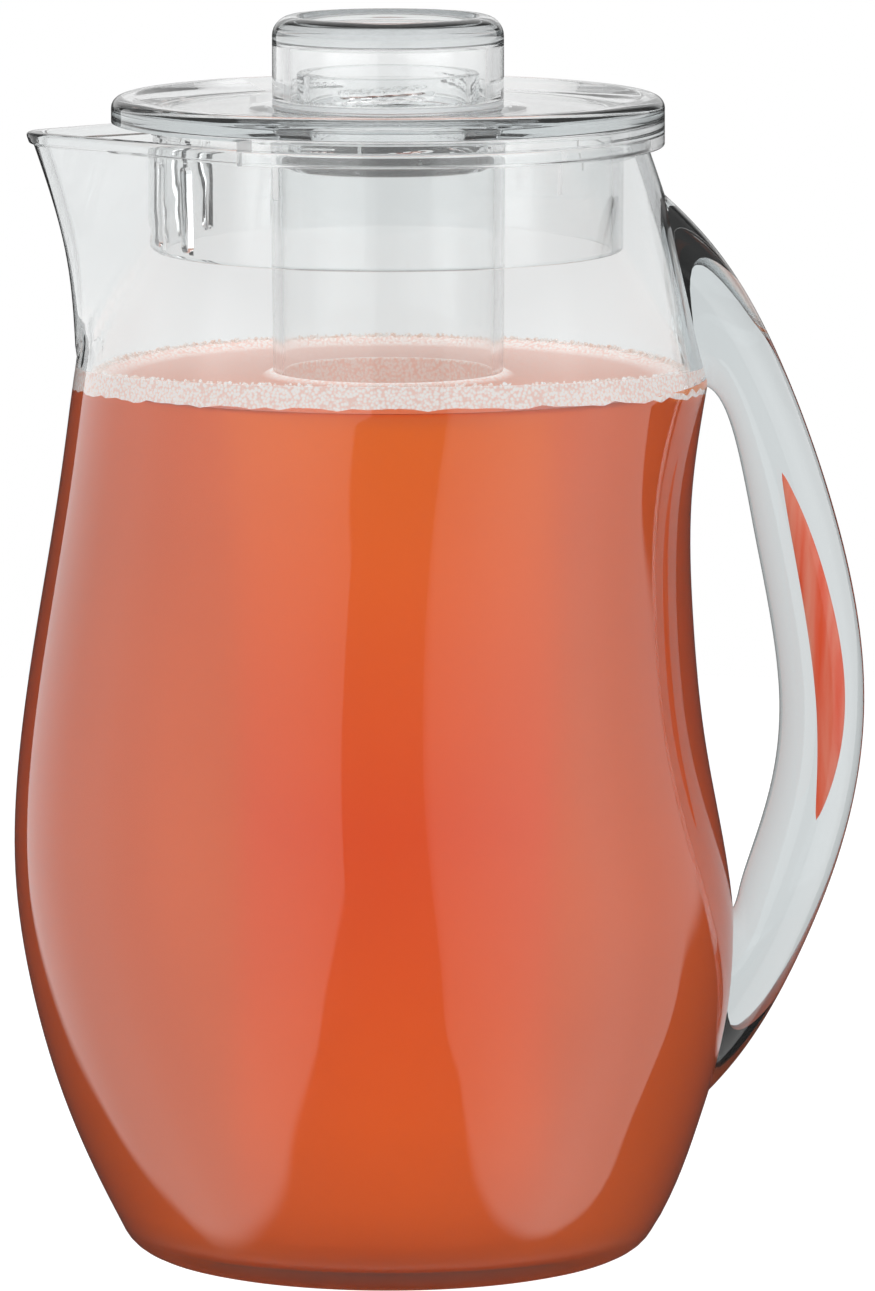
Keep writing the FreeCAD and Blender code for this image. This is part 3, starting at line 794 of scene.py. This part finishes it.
def skirt_rib(turn):
    """One of the low upright ribs that centre the skirt in the mouth."""
    half, top, low = RIB_WIDTH / 2, RIM - RIB_DROP, RIM - RIB_DROP - RIB_LENGTH
    across = Vector((-math.sin(turn), math.cos(turn), 0))
    out = Vector((math.cos(turn), math.sin(turn), 0))
    rows = []
    for up, depth in ((low, 0.3), (low + 0.6 * MM, 1), (top - 0.6 * MM, 1), (top, 0.3)):
        rows.append([out * (SKIRT_RADIUS + reach) + across * side + Vector((0, 0, up)) for side, reach in (
            (-half, -RIB_SINK), (half, -RIB_SINK), (half * 0.6, RIB_PROUD * depth), (-half * 0.6, RIB_PROUD * depth))])
    ends = [[sum(line, Vector()) / 4] for line in (rows[0], rows[-1])]
    return closed_surface("skirt_rib", [ends[0]] + rows + [ends[1]])


RIBS = 5
RIB_START = math.radians(-45)
RIB_WIDTH = 1.4 * MM
RIB_PROUD = 0.45 * MM
RIB_SINK = 0.8 * MM
RIB_DROP = 1.5 * MM
RIB_LENGTH = 9.5 * MM
for rib in range(RIBS):
    boolean(lid, skirt_rib(RIB_START + 2 * math.pi * rib / RIBS), "UNION")
# The two threaded collars bend the light less than the plate does, so that they stay in the background
lid.data.materials.append(clear_plastic("Clear collar plastic", 0.01, 0.14, PLASTIC_TINT, 7, 1.12))
for face in lid.data.polygons:
    spot = face.center
    if spot.xy.length < TUBE_RADIUS and not PLATE_BOTTOM - 0.1 * MM < spot.z < KNOB_SEAT + 0.1 * MM:
        face.material_index = len(lid.data.materials) - 1
lets_light_in(lid)
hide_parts("lid")
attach(lid, "lid")

# Knob. A hollow clear cap with a dished top and a rounded shoulder, moulded with three ridges in its
# bore, that screws down on the lid's collar and closes the ice tube.

KNOB_ROUND = 4.5 * MM
KNOB_DISH_RADIUS = 20 * MM
KNOB_DISH = KNOB_TOP - 2.6 * MM
KNOB_ROOF = KNOB_DISH - 3 * MM
knob_bore = KNOB_RADIUS - KNOB_WALL
knob_outline = rounded((
    (0, KNOB_DISH, 0),
    (KNOB_DISH_RADIUS - 0.6 * MM, KNOB_DISH, 1.2 * MM),
    (KNOB_DISH_RADIUS + 0.4 * MM, KNOB_TOP, 0.6 * MM),
    (KNOB_RADIUS, KNOB_TOP, KNOB_ROUND),
    (KNOB_RADIUS, KNOB_BOTTOM, 0.5 * MM),
    (knob_bore, KNOB_BOTTOM, 0.3 * MM),
    (knob_bore, CAP_RIDGE - RIDGE_HALF, 0),
))[:-1]
knob_outline += [Vector((knob_bore, up)) for up in thread_levels(CAP_RIDGE, KNOB_LEAD)]
knob_outline += rounded((
    (knob_bore, CAP_RIDGE + RIDGE_HALF, 0),
    (knob_bore, KNOB_ROOF, 1.4 * MM),
    (0, KNOB_ROOF, 0),
))[1:]
knob = turned("knob_cap_clear", knob_outline, [(knob_bore, -1, CAP_RIDGE, KNOB_LEAD)])
knob.data.materials.append(clear_plastic("Clear knob plastic", 0.02, 0.06, PLASTIC_TINT, 9, 1.4))
lets_light_in(knob)
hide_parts("knob_cap")
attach(knob, "knob_cap")

# Drink. A cloudy orange-red juice that fills the jug to just under the neck, round the ice tube. Its
# skin lies a hair inside the walls that hold it, so no air shows between them.

DRINK_TOP = CREASE - 1 * MM
DRINK_SKIN = 0.15 * MM
MENISCUS = 1.2 * MM
# Room beside and under the tube; unscrewed, the tube stands 9 mm lower
TUBE_GAP = 0.25 * MM
TUBE_TRAVEL = 9.2 * MM


def drink_body():
    inset = WALL - DRINK_SKIN
    bottom = FLOOR - DRINK_SKIN
    foot, start = base_corner(bottom, inset, FLOOR_ROUND)
    rows = [[Vector((0, 0, bottom))]] + foot
    rows += [wall_row(height, inset) for height in between(start, DRINK_TOP + MENISCUS, 3 * MM)[1:]]
    for share in (0.006, 0.018, 0.04, 0.08, 0.16, 0.3, 0.5, 0.7, 0.84, 0.92, 0.96, 0.982, 0.994):
        tube_side = tube_reach(DRINK_TOP, -TUBE_GAP)
        lift = MENISCUS * (math.exp(-share * 30) + math.exp(-(1 - share) * 30))

        def reach(angle):
            wall = jug_reach(DRINK_TOP, angle, inset)
            return wall + (tube_side - wall) * share

        rows.append(row(reach, DRINK_TOP + lift))
    well = TUBE_BOTTOM - TUBE_TRAVEL
    down = rounded((
        (tube_reach(DRINK_TOP, -TUBE_GAP), DRINK_TOP + MENISCUS, 0),
        (TUBE_RADIUS - TUBE_DRAFT + TUBE_GAP, well, TUBE_ROUND + TUBE_GAP),
        (0, well, 0),
    ))
    rows += [row(point.x, point.y) for point in down[:-1]]
    return closed_surface("drink", rows + [[Vector((0, 0, well))]])


def cloudy_juice():
    """Juice: part of the light is scattered near the skin, the rest passes and is dyed on its way."""
    material = bpy.data.materials.new("Cloudy juice")
    material.use_nodes = True
    nodes, link = material.node_tree.nodes, material.node_tree.links.new
    shader = nodes["Principled BSDF"]
    shader.inputs["Transmission Weight"].default_value = 0.78
    shader.inputs["IOR"].default_value = 1.34
    shader.inputs["Specular IOR Level"].default_value = 0.1
    shader.inputs["Roughness"].default_value = 0.3
    place = nodes.new("ShaderNodeTexCoord")
    pulp = nodes.new("ShaderNodeTexNoise")
    pulp.inputs["Scale"].default_value = 26
    pulp.inputs["Detail"].default_value = 4
    link(place.outputs["Object"], pulp.inputs["Vector"])
    colouring = nodes.new("ShaderNodeValToRGB")
    colouring.color_ramp.elements[0].position = 0.3
    colouring.color_ramp.elements[0].color = (0.86, 0.135, 0.012, 1)
    colouring.color_ramp.elements[1].position = 0.7
    colouring.color_ramp.elements[1].color = (0.9, 0.148, 0.014, 1)
    link(pulp.outputs["Fac"], colouring.inputs["Fac"])
    link(colouring.outputs["Color"], shader.inputs["Base Color"])
    inside = nodes.new("ShaderNodeVolumeAbsorption")
    inside.inputs["Color"].default_value = (0.95, 0.5, 0.2, 1)
    inside.inputs["Density"].default_value = 3
    link(inside.outputs["Volume"], nodes["Material Output"].inputs["Volume"])
    return material


drink = drink_body()
drink.data.materials.append(cloudy_juice())
lets_light_in(drink)
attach(drink, "jug")

# Core of the drink: painted light. The juice close round the ice tube catches the light that falls down
# the clear tube; a thin opaque sleeve inside the drink, a hair off the tube's plastic, paints that glow in its colour.

CORE_ROOM = 0.6 * MM
CORE_SKIN = 0.8 * MM


def painted_glow_core():
    top, well = DRINK_TOP - 1 * MM, TUBE_BOTTOM - TUBE_TRAVEL
    out = CORE_ROOM + CORE_SKIN
    outline = [Vector((0, FLOOR + 2 * MM))] + rounded((
        (0, FLOOR + 2 * MM, 0),
        (TUBE_RADIUS - TUBE_DRAFT + out, FLOOR + 2 * MM, 12 * MM),
        (tube_reach(top, -out), top, 0.2 * MM),
        (tube_reach(top, -CORE_ROOM), top, 0.2 * MM),
        (TUBE_RADIUS - TUBE_DRAFT + CORE_ROOM, well - CORE_ROOM, TUBE_ROUND + CORE_ROOM),
        (0, well - CORE_ROOM, 0),
    ))[1:]
    return turned("painted_glow_core", outline)


def painted_glow_juice():
    material = bpy.data.materials.new("Juice with painted glow")
    material.use_nodes = True
    nodes, link = material.node_tree.nodes, material.node_tree.links.new
    shader = nodes["Principled BSDF"]
    shader.inputs["Roughness"].default_value = 0.6
    shader.inputs["Specular IOR Level"].default_value = 0
    place = nodes.new("ShaderNodeTexCoord")
    split = nodes.new("ShaderNodeSeparateXYZ")
    link(place.outputs["Object"], split.inputs[0])
    # Painted glow: darker at the foot, redder midway, brightest and yellowest at the top, where light falls in down
    # the tube
    depth = nodes.new("ShaderNodeMapRange")
    depth.inputs["From Min"].default_value = 0
    depth.inputs["From Max"].default_value = DRINK_TOP
    link(split.outputs["Z"], depth.inputs["Value"])
    colouring = nodes.new("ShaderNodeValToRGB")
    while len(colouring.color_ramp.elements) < 4:
        colouring.color_ramp.elements.new(0.5)
    for element, (height, color) in zip(colouring.color_ramp.elements, (
            (0.04, (0.8, 0.28, 0.05, 1)), (0.2, (1, 0.34, 0.05, 1)), (0.5, (0.93, 0.2, 0.05, 1)),
            (0.97, (1, 0.5, 0.08, 1)))):
        element.position = height
        element.color = color
    link(depth.outputs["Result"], colouring.inputs["Fac"])
    link(colouring.outputs["Color"], shader.inputs["Base Color"])
    return material


core = painted_glow_core()
core.data.materials.append(painted_glow_juice())
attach(core, "jug")

# Glow in the handle: a painted reflection. A thin blade inside the plastic, coloured like the drink and
# faintly glowing, paints the long streak of the drink's colour that the thick clear plastic of the handle
# gathers from the belly beside it and shows in its middle.

GLOW_FROM = 2.5
GLOW_TO = 5.1
GLOW_WIDTH = 2.4 * MM
GLOW_DEPTH = 0.7 * MM


def painted_handle_glow():
    places = range(len(GRIP))
    curves = [spline(places, values) for values in zip(*GRIP)]
    sections = []
    for at in between(GLOW_FROM, GLOW_TO, 0.05):
        share = (at - GLOW_FROM) / (GLOW_TO - GLOW_FROM)
        full = math.sin(math.pi * share) ** 0.7 if 0 < share < 1 else 0
        line = oval(at, curves)
        outer, inner = line[0], line[OVAL_POINTS // 2]
        across = (outer - inner).normalized()
        middle = (outer + inner) / 2 + across * (0.2 + 1.6 * share) * MM
        if full == 0:
            sections.append([middle])
            continue
        ring = []
        for step in range(16):
            angle = 2 * math.pi * step / 16
            point = middle + across * math.cos(angle) * GLOW_WIDTH * full
            point.y = math.sin(angle) * GLOW_DEPTH * full
            ring.append(point)
        sections.append(ring)
    return closed_surface("painted_handle_glow", sections)


def painted_glow_finish():
    material = bpy.data.materials.new("Painted glow of the drink")
    material.use_nodes = True
    nodes, link = material.node_tree.nodes, material.node_tree.links.new
    shader = nodes["Principled BSDF"]
    shader.inputs["Roughness"].default_value = 0.5
    shader.inputs["Specular IOR Level"].default_value = 0.1
    place = nodes.new("ShaderNodeTexCoord")
    stretch = nodes.new("ShaderNodeVectorMath")
    stretch.operation = "MULTIPLY"
    stretch.inputs[1].default_value = (1, 1, 0.06)
    link(place.outputs["Object"], stretch.inputs[0])
    streaks = nodes.new("ShaderNodeTexNoise")
    streaks.inputs["Scale"].default_value = 420
    link(stretch.outputs[0], streaks.inputs["Vector"])
    colouring = nodes.new("ShaderNodeValToRGB")
    colouring.color_ramp.elements[0].position = 0.35
    colouring.color_ramp.elements[0].color = (0.95, 0.1, 0.03, 1)
    colouring.color_ramp.elements[1].position = 0.68
    colouring.color_ramp.elements[1].color = (0.98, 0.3, 0.2, 1)
    link(streaks.outputs["Fac"], colouring.inputs["Fac"])
    link(colouring.outputs["Color"], shader.inputs["Base Color"])
    # Painted glow: the blade's drink colour also shines as a faint emission
    link(colouring.outputs["Color"], shader.inputs["Emission Color"])
    shader.inputs["Emission Strength"].default_value = 0.2
    return material


glow = painted_handle_glow()
glow.data.materials.append(painted_glow_finish())
lets_light_in(glow)
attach(glow, "jug")

# Foam. A wreath of small bubbles that the poured drink leaves on its surface, along the jug's wall.

FOAM_WIDTH = 3.6 * MM
FROTH_LEVEL = DRINK_TOP + 1.9 * MM


def foam_height(angle):
    """How high the foam's edge stands on the wall; highest at the front, where the pour came to rest."""
    return FROTH_LEVEL + 2 * MM + 3.4 * MM * max(0, -math.sin(angle))


def foam_band():
    """Narrow sloping ring between the wall and the drink, on which the bubbles are scattered."""
    low = row(lambda angle: jug_reach(FROTH_LEVEL, angle, WALL) - FOAM_WIDTH * (0.7 - 0.3 * math.sin(angle)),
              FROTH_LEVEL)
    high = row(lambda angle: jug_reach(foam_height(angle), angle, WALL) - 0.6 * MM, 0)
    for angle, point in zip(COLUMNS, high):
        point.z = foam_height(angle)
    count = len(low)
    faces = [(i, (i + 1) % count, count + (i + 1) % count, count + i) for i in range(count)]
    mesh = bpy.data.meshes.new("foam")
    mesh.from_pydata(low + high, [], faces)
    band = bpy.data.objects.new("foam", mesh)
    bpy.context.scene.collection.objects.link(band)
    return band


def bubbles():
    """Geometry nodes: bubbles of mixed sizes scattered over a band."""
    tree = bpy.data.node_groups.new("Bubbles", "GeometryNodeTree")
    names = {}
    for name, kind in (("Geometry", "Geometry"), ("Density", "Float"), ("Smallest", "Float"),
                       ("Largest", "Float"), ("Seed", "Int"), ("Finish", "Material")):
        socket = tree.interface.new_socket(name, in_out="INPUT", socket_type="NodeSocket" + kind)
        names[name] = socket.identifier
    tree.interface.new_socket("Geometry", in_out="OUTPUT", socket_type="NodeSocketGeometry")
    nodes, link = tree.nodes, tree.links.new
    given, result = nodes.new("NodeGroupInput"), nodes.new("NodeGroupOutput")
    scatter = nodes.new("GeometryNodeDistributePointsOnFaces")
    link(given.outputs["Geometry"], scatter.inputs["Mesh"])
    link(given.outputs["Density"], scatter.inputs["Density"])
    link(given.outputs["Seed"], scatter.inputs["Seed"])
    ball = nodes.new("GeometryNodeMeshIcoSphere")
    ball.inputs["Radius"].default_value = 1
    ball.inputs["Subdivisions"].default_value = 1
    size = nodes.new("FunctionNodeRandomValue")
    link(given.outputs["Smallest"], size.inputs[2])
    link(given.outputs["Largest"], size.inputs[3])
    link(given.outputs["Seed"], size.inputs["Seed"])
    copies = nodes.new("GeometryNodeInstanceOnPoints")
    link(scatter.outputs["Points"], copies.inputs["Points"])
    link(ball.outputs["Mesh"], copies.inputs["Instance"])
    link(size.outputs[1], copies.inputs["Scale"])
    real = nodes.new("GeometryNodeRealizeInstances")
    link(copies.outputs["Instances"], real.inputs["Geometry"])
    finish = nodes.new("GeometryNodeSetMaterial")
    link(real.outputs["Geometry"], finish.inputs["Geometry"])
    link(given.outputs["Finish"], finish.inputs["Material"])
    link(finish.outputs["Geometry"], result.inputs["Geometry"])
    return tree, names


def bubble_skin():
    material = bpy.data.materials.new("Bubble skin")
    material.use_nodes = True
    nodes, link = material.node_tree.nodes, material.node_tree.links.new
    shader = nodes["Principled BSDF"]
    shader.inputs["Roughness"].default_value = 0.2
    shader.inputs["Transmission Weight"].default_value = 0.15
    shader.inputs["IOR"].default_value = 1.2
    place = nodes.new("ShaderNodeTexCoord")
    tone = nodes.new("ShaderNodeTexNoise")
    tone.inputs["Scale"].default_value = 400
    link(place.outputs["Object"], tone.inputs["Vector"])
    colouring = nodes.new("ShaderNodeValToRGB")
    colouring.color_ramp.elements[0].position = 0.35
    colouring.color_ramp.elements[0].color = (0.93, 0.7, 0.6, 1)
    colouring.color_ramp.elements[1].position = 0.6
    colouring.color_ramp.elements[1].color = (0.98, 0.95, 0.93, 1)
    link(tone.outputs["Fac"], colouring.inputs["Fac"])
    link(colouring.outputs["Color"], shader.inputs["Base Color"])
    return material


FROTH_SKIN = 0.3 * MM
FROTH_DEPTH = 12 * MM


def froth_sheet():
    """Skin of fine froth on the drink: it clings to the tube, lies on the drink and climbs the wall."""
    low, film, top = DRINK_TOP - 0.3 * MM, FROTH_LEVEL, FROTH_LEVEL + 1.2 * MM
    foot = DRINK_TOP - FROTH_DEPTH

    def at_wall(inset, level):
        line = row(lambda angle: jug_reach(level(angle), angle, WALL) - inset, 0)
        for angle, point in zip(COLUMNS, line):
            point.z = level(angle)
        return line

    def edge(angle):
        ragged = math.sin(23 * angle) + math.sin(41 * angle + 1) + math.sin(67 * angle + 2)
        return foam_height(angle) - 5.2 * MM + 0.2 * MM * ragged

    def crest(angle):
        return foam_height(angle) - 0.4 * MM

    return closed_surface("froth", (
        row(tube_reach(foot, FROTH_SKIN), foot),
        row(tube_reach(top, FROTH_SKIN), top),
        row(tube_reach(top, -2 * FROTH_SKIN), top),
        row(tube_reach(film, -3 * MM), film),
        row(lambda angle: (tube_reach(film, 0) + jug_reach(DRINK_TOP, angle, WALL)) / 2, film),
        row(lambda angle: jug_reach(film, angle, WALL) - FOAM_WIDTH, film),
        at_wall(0.5 * MM, crest),
        at_wall(-FROTH_SKIN, crest),
        at_wall(-FROTH_SKIN, edge),
        at_wall(2 * MM, edge),
        row(tube_reach(low, -2 * MM), low),
        row(tube_reach(foot, -FROTH_SKIN), foot)), ring=True)


def froth_and_painted_glow():
    """Pale cells of froth with the drink between them, whiter where the froth stands higher, with a faint painted
    glow.
    """
    material = bpy.data.materials.new("Froth")
    material.use_nodes = True
    nodes, link = material.node_tree.nodes, material.node_tree.links.new
    shader = nodes["Principled BSDF"]
    shader.inputs["Roughness"].default_value = 0.7
    shader.inputs["Specular IOR Level"].default_value = 0.2
    place = nodes.new("ShaderNodeTexCoord")
    cells = nodes.new("ShaderNodeTexVoronoi")
    cells.inputs["Scale"].default_value = 1400
    link(place.outputs["Object"], cells.inputs["Vector"])
    split = nodes.new("ShaderNodeSeparateXYZ")
    link(place.outputs["Object"], split.inputs[0])
    # Darker and oranger towards the front, paler towards the back
    drift = nodes.new("ShaderNodeMapRange")
    drift.inputs["From Min"].default_value = -45 * MM
    drift.inputs["From Max"].default_value = 60 * MM
    link(split.outputs["Y"], drift.inputs["Value"])
    front_to_back_tone = nodes.new("ShaderNodeValToRGB")
    front_to_back_tone.color_ramp.elements[0].position = 0
    front_to_back_tone.color_ramp.elements[0].color = (0.62, 0.29, 0.21, 1)
    front_to_back_tone.color_ramp.elements[1].position = 1
    front_to_back_tone.color_ramp.elements[1].color = (0.8, 0.62, 0.57, 1)
    link(drift.outputs["Result"], front_to_back_tone.inputs["Fac"])
    height = nodes.new("ShaderNodeMapRange")
    height.inputs["From Min"].default_value = FROTH_LEVEL + 0.2 * MM
    height.inputs["From Max"].default_value = FROTH_LEVEL + 1.2 * MM
    link(split.outputs["Z"], height.inputs["Value"])
    across = nodes.new("ShaderNodeVectorMath")
    across.operation = "LENGTH"
    flat = nodes.new("ShaderNodeCombineXYZ")
    link(split.outputs["X"], flat.inputs["X"])
    link(split.outputs["Y"], flat.inputs["Y"])
    link(flat.outputs[0], across.inputs[0])
    outer = nodes.new("ShaderNodeMapRange")
    outer.inputs["From Min"].default_value = BELLY_RADIUS * 0.72
    outer.inputs["From Max"].default_value = BELLY_RADIUS * 0.82
    link(across.outputs["Value"], outer.inputs["Value"])
    inner = nodes.new("ShaderNodeMapRange")
    inner.inputs["From Min"].default_value = TUBE_RADIUS + 1 * MM
    inner.inputs["From Max"].default_value = TUBE_RADIUS - 1 * MM
    inner.inputs["To Max"].default_value = 0.5
    link(across.outputs["Value"], inner.inputs["Value"])
    near = nodes.new("ShaderNodeMath")
    near.operation = "MAXIMUM"
    link(inner.outputs["Result"], near.inputs[0])
    link(outer.outputs["Result"], near.inputs[1])
    white = nodes.new("ShaderNodeMath")
    white.operation = "MAXIMUM"
    link(height.outputs["Result"], white.inputs[0])
    link(near.outputs[0], white.inputs[1])
    pale = nodes.new("ShaderNodeMix")
    pale.data_type = "RGBA"
    link(white.outputs[0], pale.inputs["Factor"])
    link(front_to_back_tone.outputs["Color"], pale.inputs[6])
    pale.inputs[7].default_value = (0.96, 0.9, 0.87, 1)
    wet = nodes.new("ShaderNodeMapRange")
    wet.inputs["From Min"].default_value = 0.35
    wet.inputs["From Max"].default_value = 0.75
    wet.inputs["To Max"].default_value = 0.45
    link(cells.outputs["Distance"], wet.inputs["Value"])
    blend = nodes.new("ShaderNodeMix")
    blend.data_type = "RGBA"
    link(wet.outputs["Result"], blend.inputs["Factor"])
    link(pale.outputs[2], blend.inputs[6])
    blend.inputs[7].default_value = (0.85, 0.34, 0.22, 1)
    link(blend.outputs[2], shader.inputs["Base Color"])
    # Painted glow: the froth's colour also shines faintly, standing in for the studio light that passes through it
    link(blend.outputs[2], shader.inputs["Emission Color"])
    shader.inputs["Emission Strength"].default_value = 0.16
    return material


foam = foam_band()
bubbles_tree, bubbles_names = bubbles()
run_nodes(foam, bubbles_tree, bubbles_names, {
    "Density": 2600000.0,
    "Smallest": 0.2 * MM,
    "Largest": 0.5 * MM,
    "Seed": 4,
    "Finish": bubble_skin(),
})
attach(foam, "jug")
froth = froth_sheet()
froth.data.materials.append(froth_and_painted_glow())
lets_light_in(froth)
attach(froth, "jug")

# Studio. A pale table that fades into a white surround, two large soft lights at the front left and
# right with a gap between them, and a camera a little above the lid.

FLOOR_RADIUS = 0.9


def studio_floor():
    rows = [[Vector((0, 0, 0))]]
    rows += [[Vector((reach * math.cos(a), reach * math.sin(a), 0)) for a in between(0, 2 * math.pi, 0.1)[:-1]]
             for reach in (0.2, 0.5, FLOOR_RADIUS)]
    points = [point for line in rows for point in line]
    count = len(rows[1])
    faces = [(0, 1 + i, 1 + (i + 1) % count) for i in range(count)]
    for ring in (1, 1 + count):
        faces += [(ring + i, ring + count + i, ring + count + (i + 1) % count, ring + (i + 1) % count)
                  for i in range(count)]
    mesh = bpy.data.meshes.new("studio_floor")
    mesh.from_pydata(points, [], faces)
    floor = bpy.data.objects.new("studio_floor", mesh)
    bpy.context.scene.collection.objects.link(floor)
    material = bpy.data.materials.new("White table")
    material.use_nodes = True
    nodes, link = material.node_tree.nodes, material.node_tree.links.new
    shader = nodes["Principled BSDF"]
    shader.inputs["Base Color"].default_value = (0.9, 0.9, 0.9, 1)
    shader.inputs["Roughness"].default_value = 0.6
    shader.inputs["Specular IOR Level"].default_value = 0.1
    glow = nodes.new("ShaderNodeLightPath")
    link(glow.outputs["Is Camera Ray"], shader.inputs["Emission Strength"])
    shader.inputs["Emission Color"].default_value = (0.42, 0.42, 0.42, 1)
    mesh.materials.append(material)
    floor.visible_glossy = False
    floor.visible_transmission = False
    return floor


studio_floor()


def studio_surround():
    """White to the camera; what the plastic mirrors and bends is a studio with dark gaps in it."""
    world = bpy.data.worlds.new("Studio")
    bpy.context.scene.world = world
    world.use_nodes = True
    nodes, link = world.node_tree.nodes, world.node_tree.links.new
    nodes.clear()

    def maths(operation, *values):
        node = nodes.new("ShaderNodeMath")
        node.operation = operation
        for socket, value in zip(node.inputs, values):
            if isinstance(value, (int, float)):
                socket.default_value = value
            else:
                link(value, socket)
        return node.outputs[0]

    def steps(value, low, high, stops):
        """Brightness that changes along the stops (place, brightness)."""
        spread = nodes.new("ShaderNodeMapRange")
        spread.inputs["From Min"].default_value = low
        spread.inputs["From Max"].default_value = high
        link(value, spread.inputs["Value"])
        ramp = nodes.new("ShaderNodeValToRGB")
        ramp.color_ramp.interpolation = "LINEAR"
        while len(ramp.color_ramp.elements) < len(stops):
            ramp.color_ramp.elements.new(0.5)
        for element, (place, bright) in zip(ramp.color_ramp.elements, stops):
            element.position = (place - low) / (high - low)
            element.color = (bright, bright, bright, 1)
        link(spread.outputs["Result"], ramp.inputs["Fac"])
        return ramp.outputs["Color"]

    def fade(value, low, high):
        """Nought below low, one above high."""
        spread = nodes.new("ShaderNodeMapRange")
        spread.interpolation_type = "SMOOTHSTEP"
        spread.inputs["From Min"].default_value = low
        spread.inputs["From Max"].default_value = high
        link(value, spread.inputs["Value"])
        return spread.outputs["Result"]

    place = nodes.new("ShaderNodeTexCoord")
    split = nodes.new("ShaderNodeSeparateXYZ")
    link(place.outputs["Generated"], split.inputs[0])
    turn = maths("MULTIPLY", maths("ARCTAN2", split.outputs["X"], maths("MULTIPLY", split.outputs["Y"], -1)),
                 180 / math.pi)
    rise = maths("MULTIPLY", maths("ARCSINE", split.outputs["Z"]), 180 / math.pi)
    # The lights' lower edge, round at both ends, as (turn, rise); between and outside the lights it
    # lies over the zenith
    edge = nodes.new("ShaderNodeFloatCurve")
    outline = ((-180, 90), (-151, 80), (-147, -12), (-138, -21), (-130, -27), (-124, -33), (-115, -40),
               (-98, -50), (-71, -54.5), (-49, -52), (-40, -47.5), (-25.5, -36), (-16.5, -19), (-11, -8),
               (-6, 2), (-2.5, 90), (17, 90), (20, 0), (20.5, -16), (22, -26), (27, -35), (36, -47),
               (44, -50.5), (66, -54), (84, -52), (98, -45), (106, -36), (111, -23), (117, -9), (136, -3),
               (143, 10), (147, 90), (180, 90))
    curve = edge.mapping.curves[0]
    while len(curve.points) < len(outline):
        curve.points.new(0.5, 0.5)
    for point, (place_turn, place_rise) in zip(curve.points, outline):
        point.location = ((place_turn + 180) / 360, (place_rise + 90) / 180)
        point.handle_type = "AUTO_CLAMPED"
    edge.mapping.update()
    link(maths("DIVIDE", maths("ADD", turn, 180), 360), edge.inputs["Value"])
    lower = maths("SUBTRACT", maths("MULTIPLY", edge.outputs["Value"], 180), 90)
    shown = fade(maths("SUBTRACT", rise, lower), 0, 4)
    shown = maths("MULTIPLY", shown, fade(maths("ABSOLUTE", maths("SUBTRACT", turn, 8), 0), 10, 16))
    bright = steps(turn, -180, 180, (
        (-140, 0.36), (-115, 0.4), (-97, 0.54), (-70, 0.52), (-50, 0.48), (-25, 0.38), (-8, 0.28),
        (15, 0.22), (30, 0.3), (50, 0.44), (82, 0.58), (100, 0.42), (120, 0.32), (140, 0.28)))
    height = steps(rise, -90, 90, ((-90, 1), (8, 1), (18, 0.25), (90, 0.2)))
    lights = maths("MULTIPLY", shown, maths("MULTIPLY", bright, height))
    lights = maths("ADD", maths("MULTIPLY", lights, 4), 0.04)
    wide = maths("ABSOLUTE", turn, 0)
    aside = maths("SUBTRACT", 180, wide)
    behind = steps(aside, 0, 180, (
        (0, 0.92), (12, 0.9), (28, 0.8), (45, 0.72), (60, 0.64), (100, 0.58), (180, 0.55)))
    path = nodes.new("ShaderNodeLightPath")
    through = path.outputs["Is Transmission Ray"]
    beside = maths("MULTIPLY", through, fade(wide, 70, 85))
    mirrored = maths("MULTIPLY", path.outputs["Is Glossy Ray"], maths("SUBTRACT", 1, beside))
    light = maths("MULTIPLY", lights, mirrored)
    ceiling = maths("MULTIPLY", fade(maths("ABSOLUTE", rise, 0), 25, 45), 0.78)
    light = maths("ADD", light, maths("MULTIPLY", maths("MAXIMUM", behind, ceiling), through))
    grazed = maths("MULTIPLY", path.outputs["Is Glossy Ray"], maths("SUBTRACT", 1, through))
    grazed = maths("MULTIPLY", grazed, maths("MULTIPLY", fade(wide, 150, 165), fade(rise, -2, 4)))
    light = maths("ADD", light, maths("MULTIPLY", grazed, 0.8))
    light = maths("ADD", light, path.outputs["Is Camera Ray"])
    light = maths("ADD", light, maths("MULTIPLY", path.outputs["Is Diffuse Ray"], 0.6))
    background = nodes.new("ShaderNodeBackground")
    background.inputs["Color"].default_value = (1, 1, 1, 1)
    link(light, background.inputs["Strength"])
    result = nodes.new("ShaderNodeOutputWorld")
    link(background.outputs[0], result.inputs[0])
    world.cycles.sampling_method = "NONE"


studio_surround()


def soft_light(name, place, size, power):
    lamp = bpy.data.lights.new(name, "AREA")
    lamp.shape = "SQUARE"
    lamp.size = size
    lamp.energy = power
    light = bpy.data.objects.new(name, lamp)
    light.location = place
    light.rotation_euler = (Vector((0, 0, RIM / 2)) - Vector(place)).to_track_quat("-Z", "Y").to_euler()
    bpy.context.scene.collection.objects.link(light)
    light.visible_glossy = False
    light.visible_transmission = False
    light.visible_camera = False


soft_light("left_light", (-1.3, -1.2, 1.0), 1.2, 12)
soft_light("right_light", (1.3, -1.2, 1.0), 1.2, 12)

CAMERA_PLACE = (0.0111, -2.2, 0.451)
CAMERA_AIM = (0.0111, 0, 0.1375)
CAMERA_LENS = 274.2
camera = bpy.data.objects.new("camera", bpy.data.cameras.new("camera"))
camera.location = CAMERA_PLACE
camera.rotation_euler = (Vector(CAMERA_AIM) - Vector(CAMERA_PLACE)).to_track_quat("-Z", "Y").to_euler()
camera.data.lens = CAMERA_LENS
camera.data.sensor_width = 36
bpy.context.scene.collection.objects.link(camera)
bpy.context.scene.camera = camera

bpy.context.scene.view_settings.view_transform = "Standard"
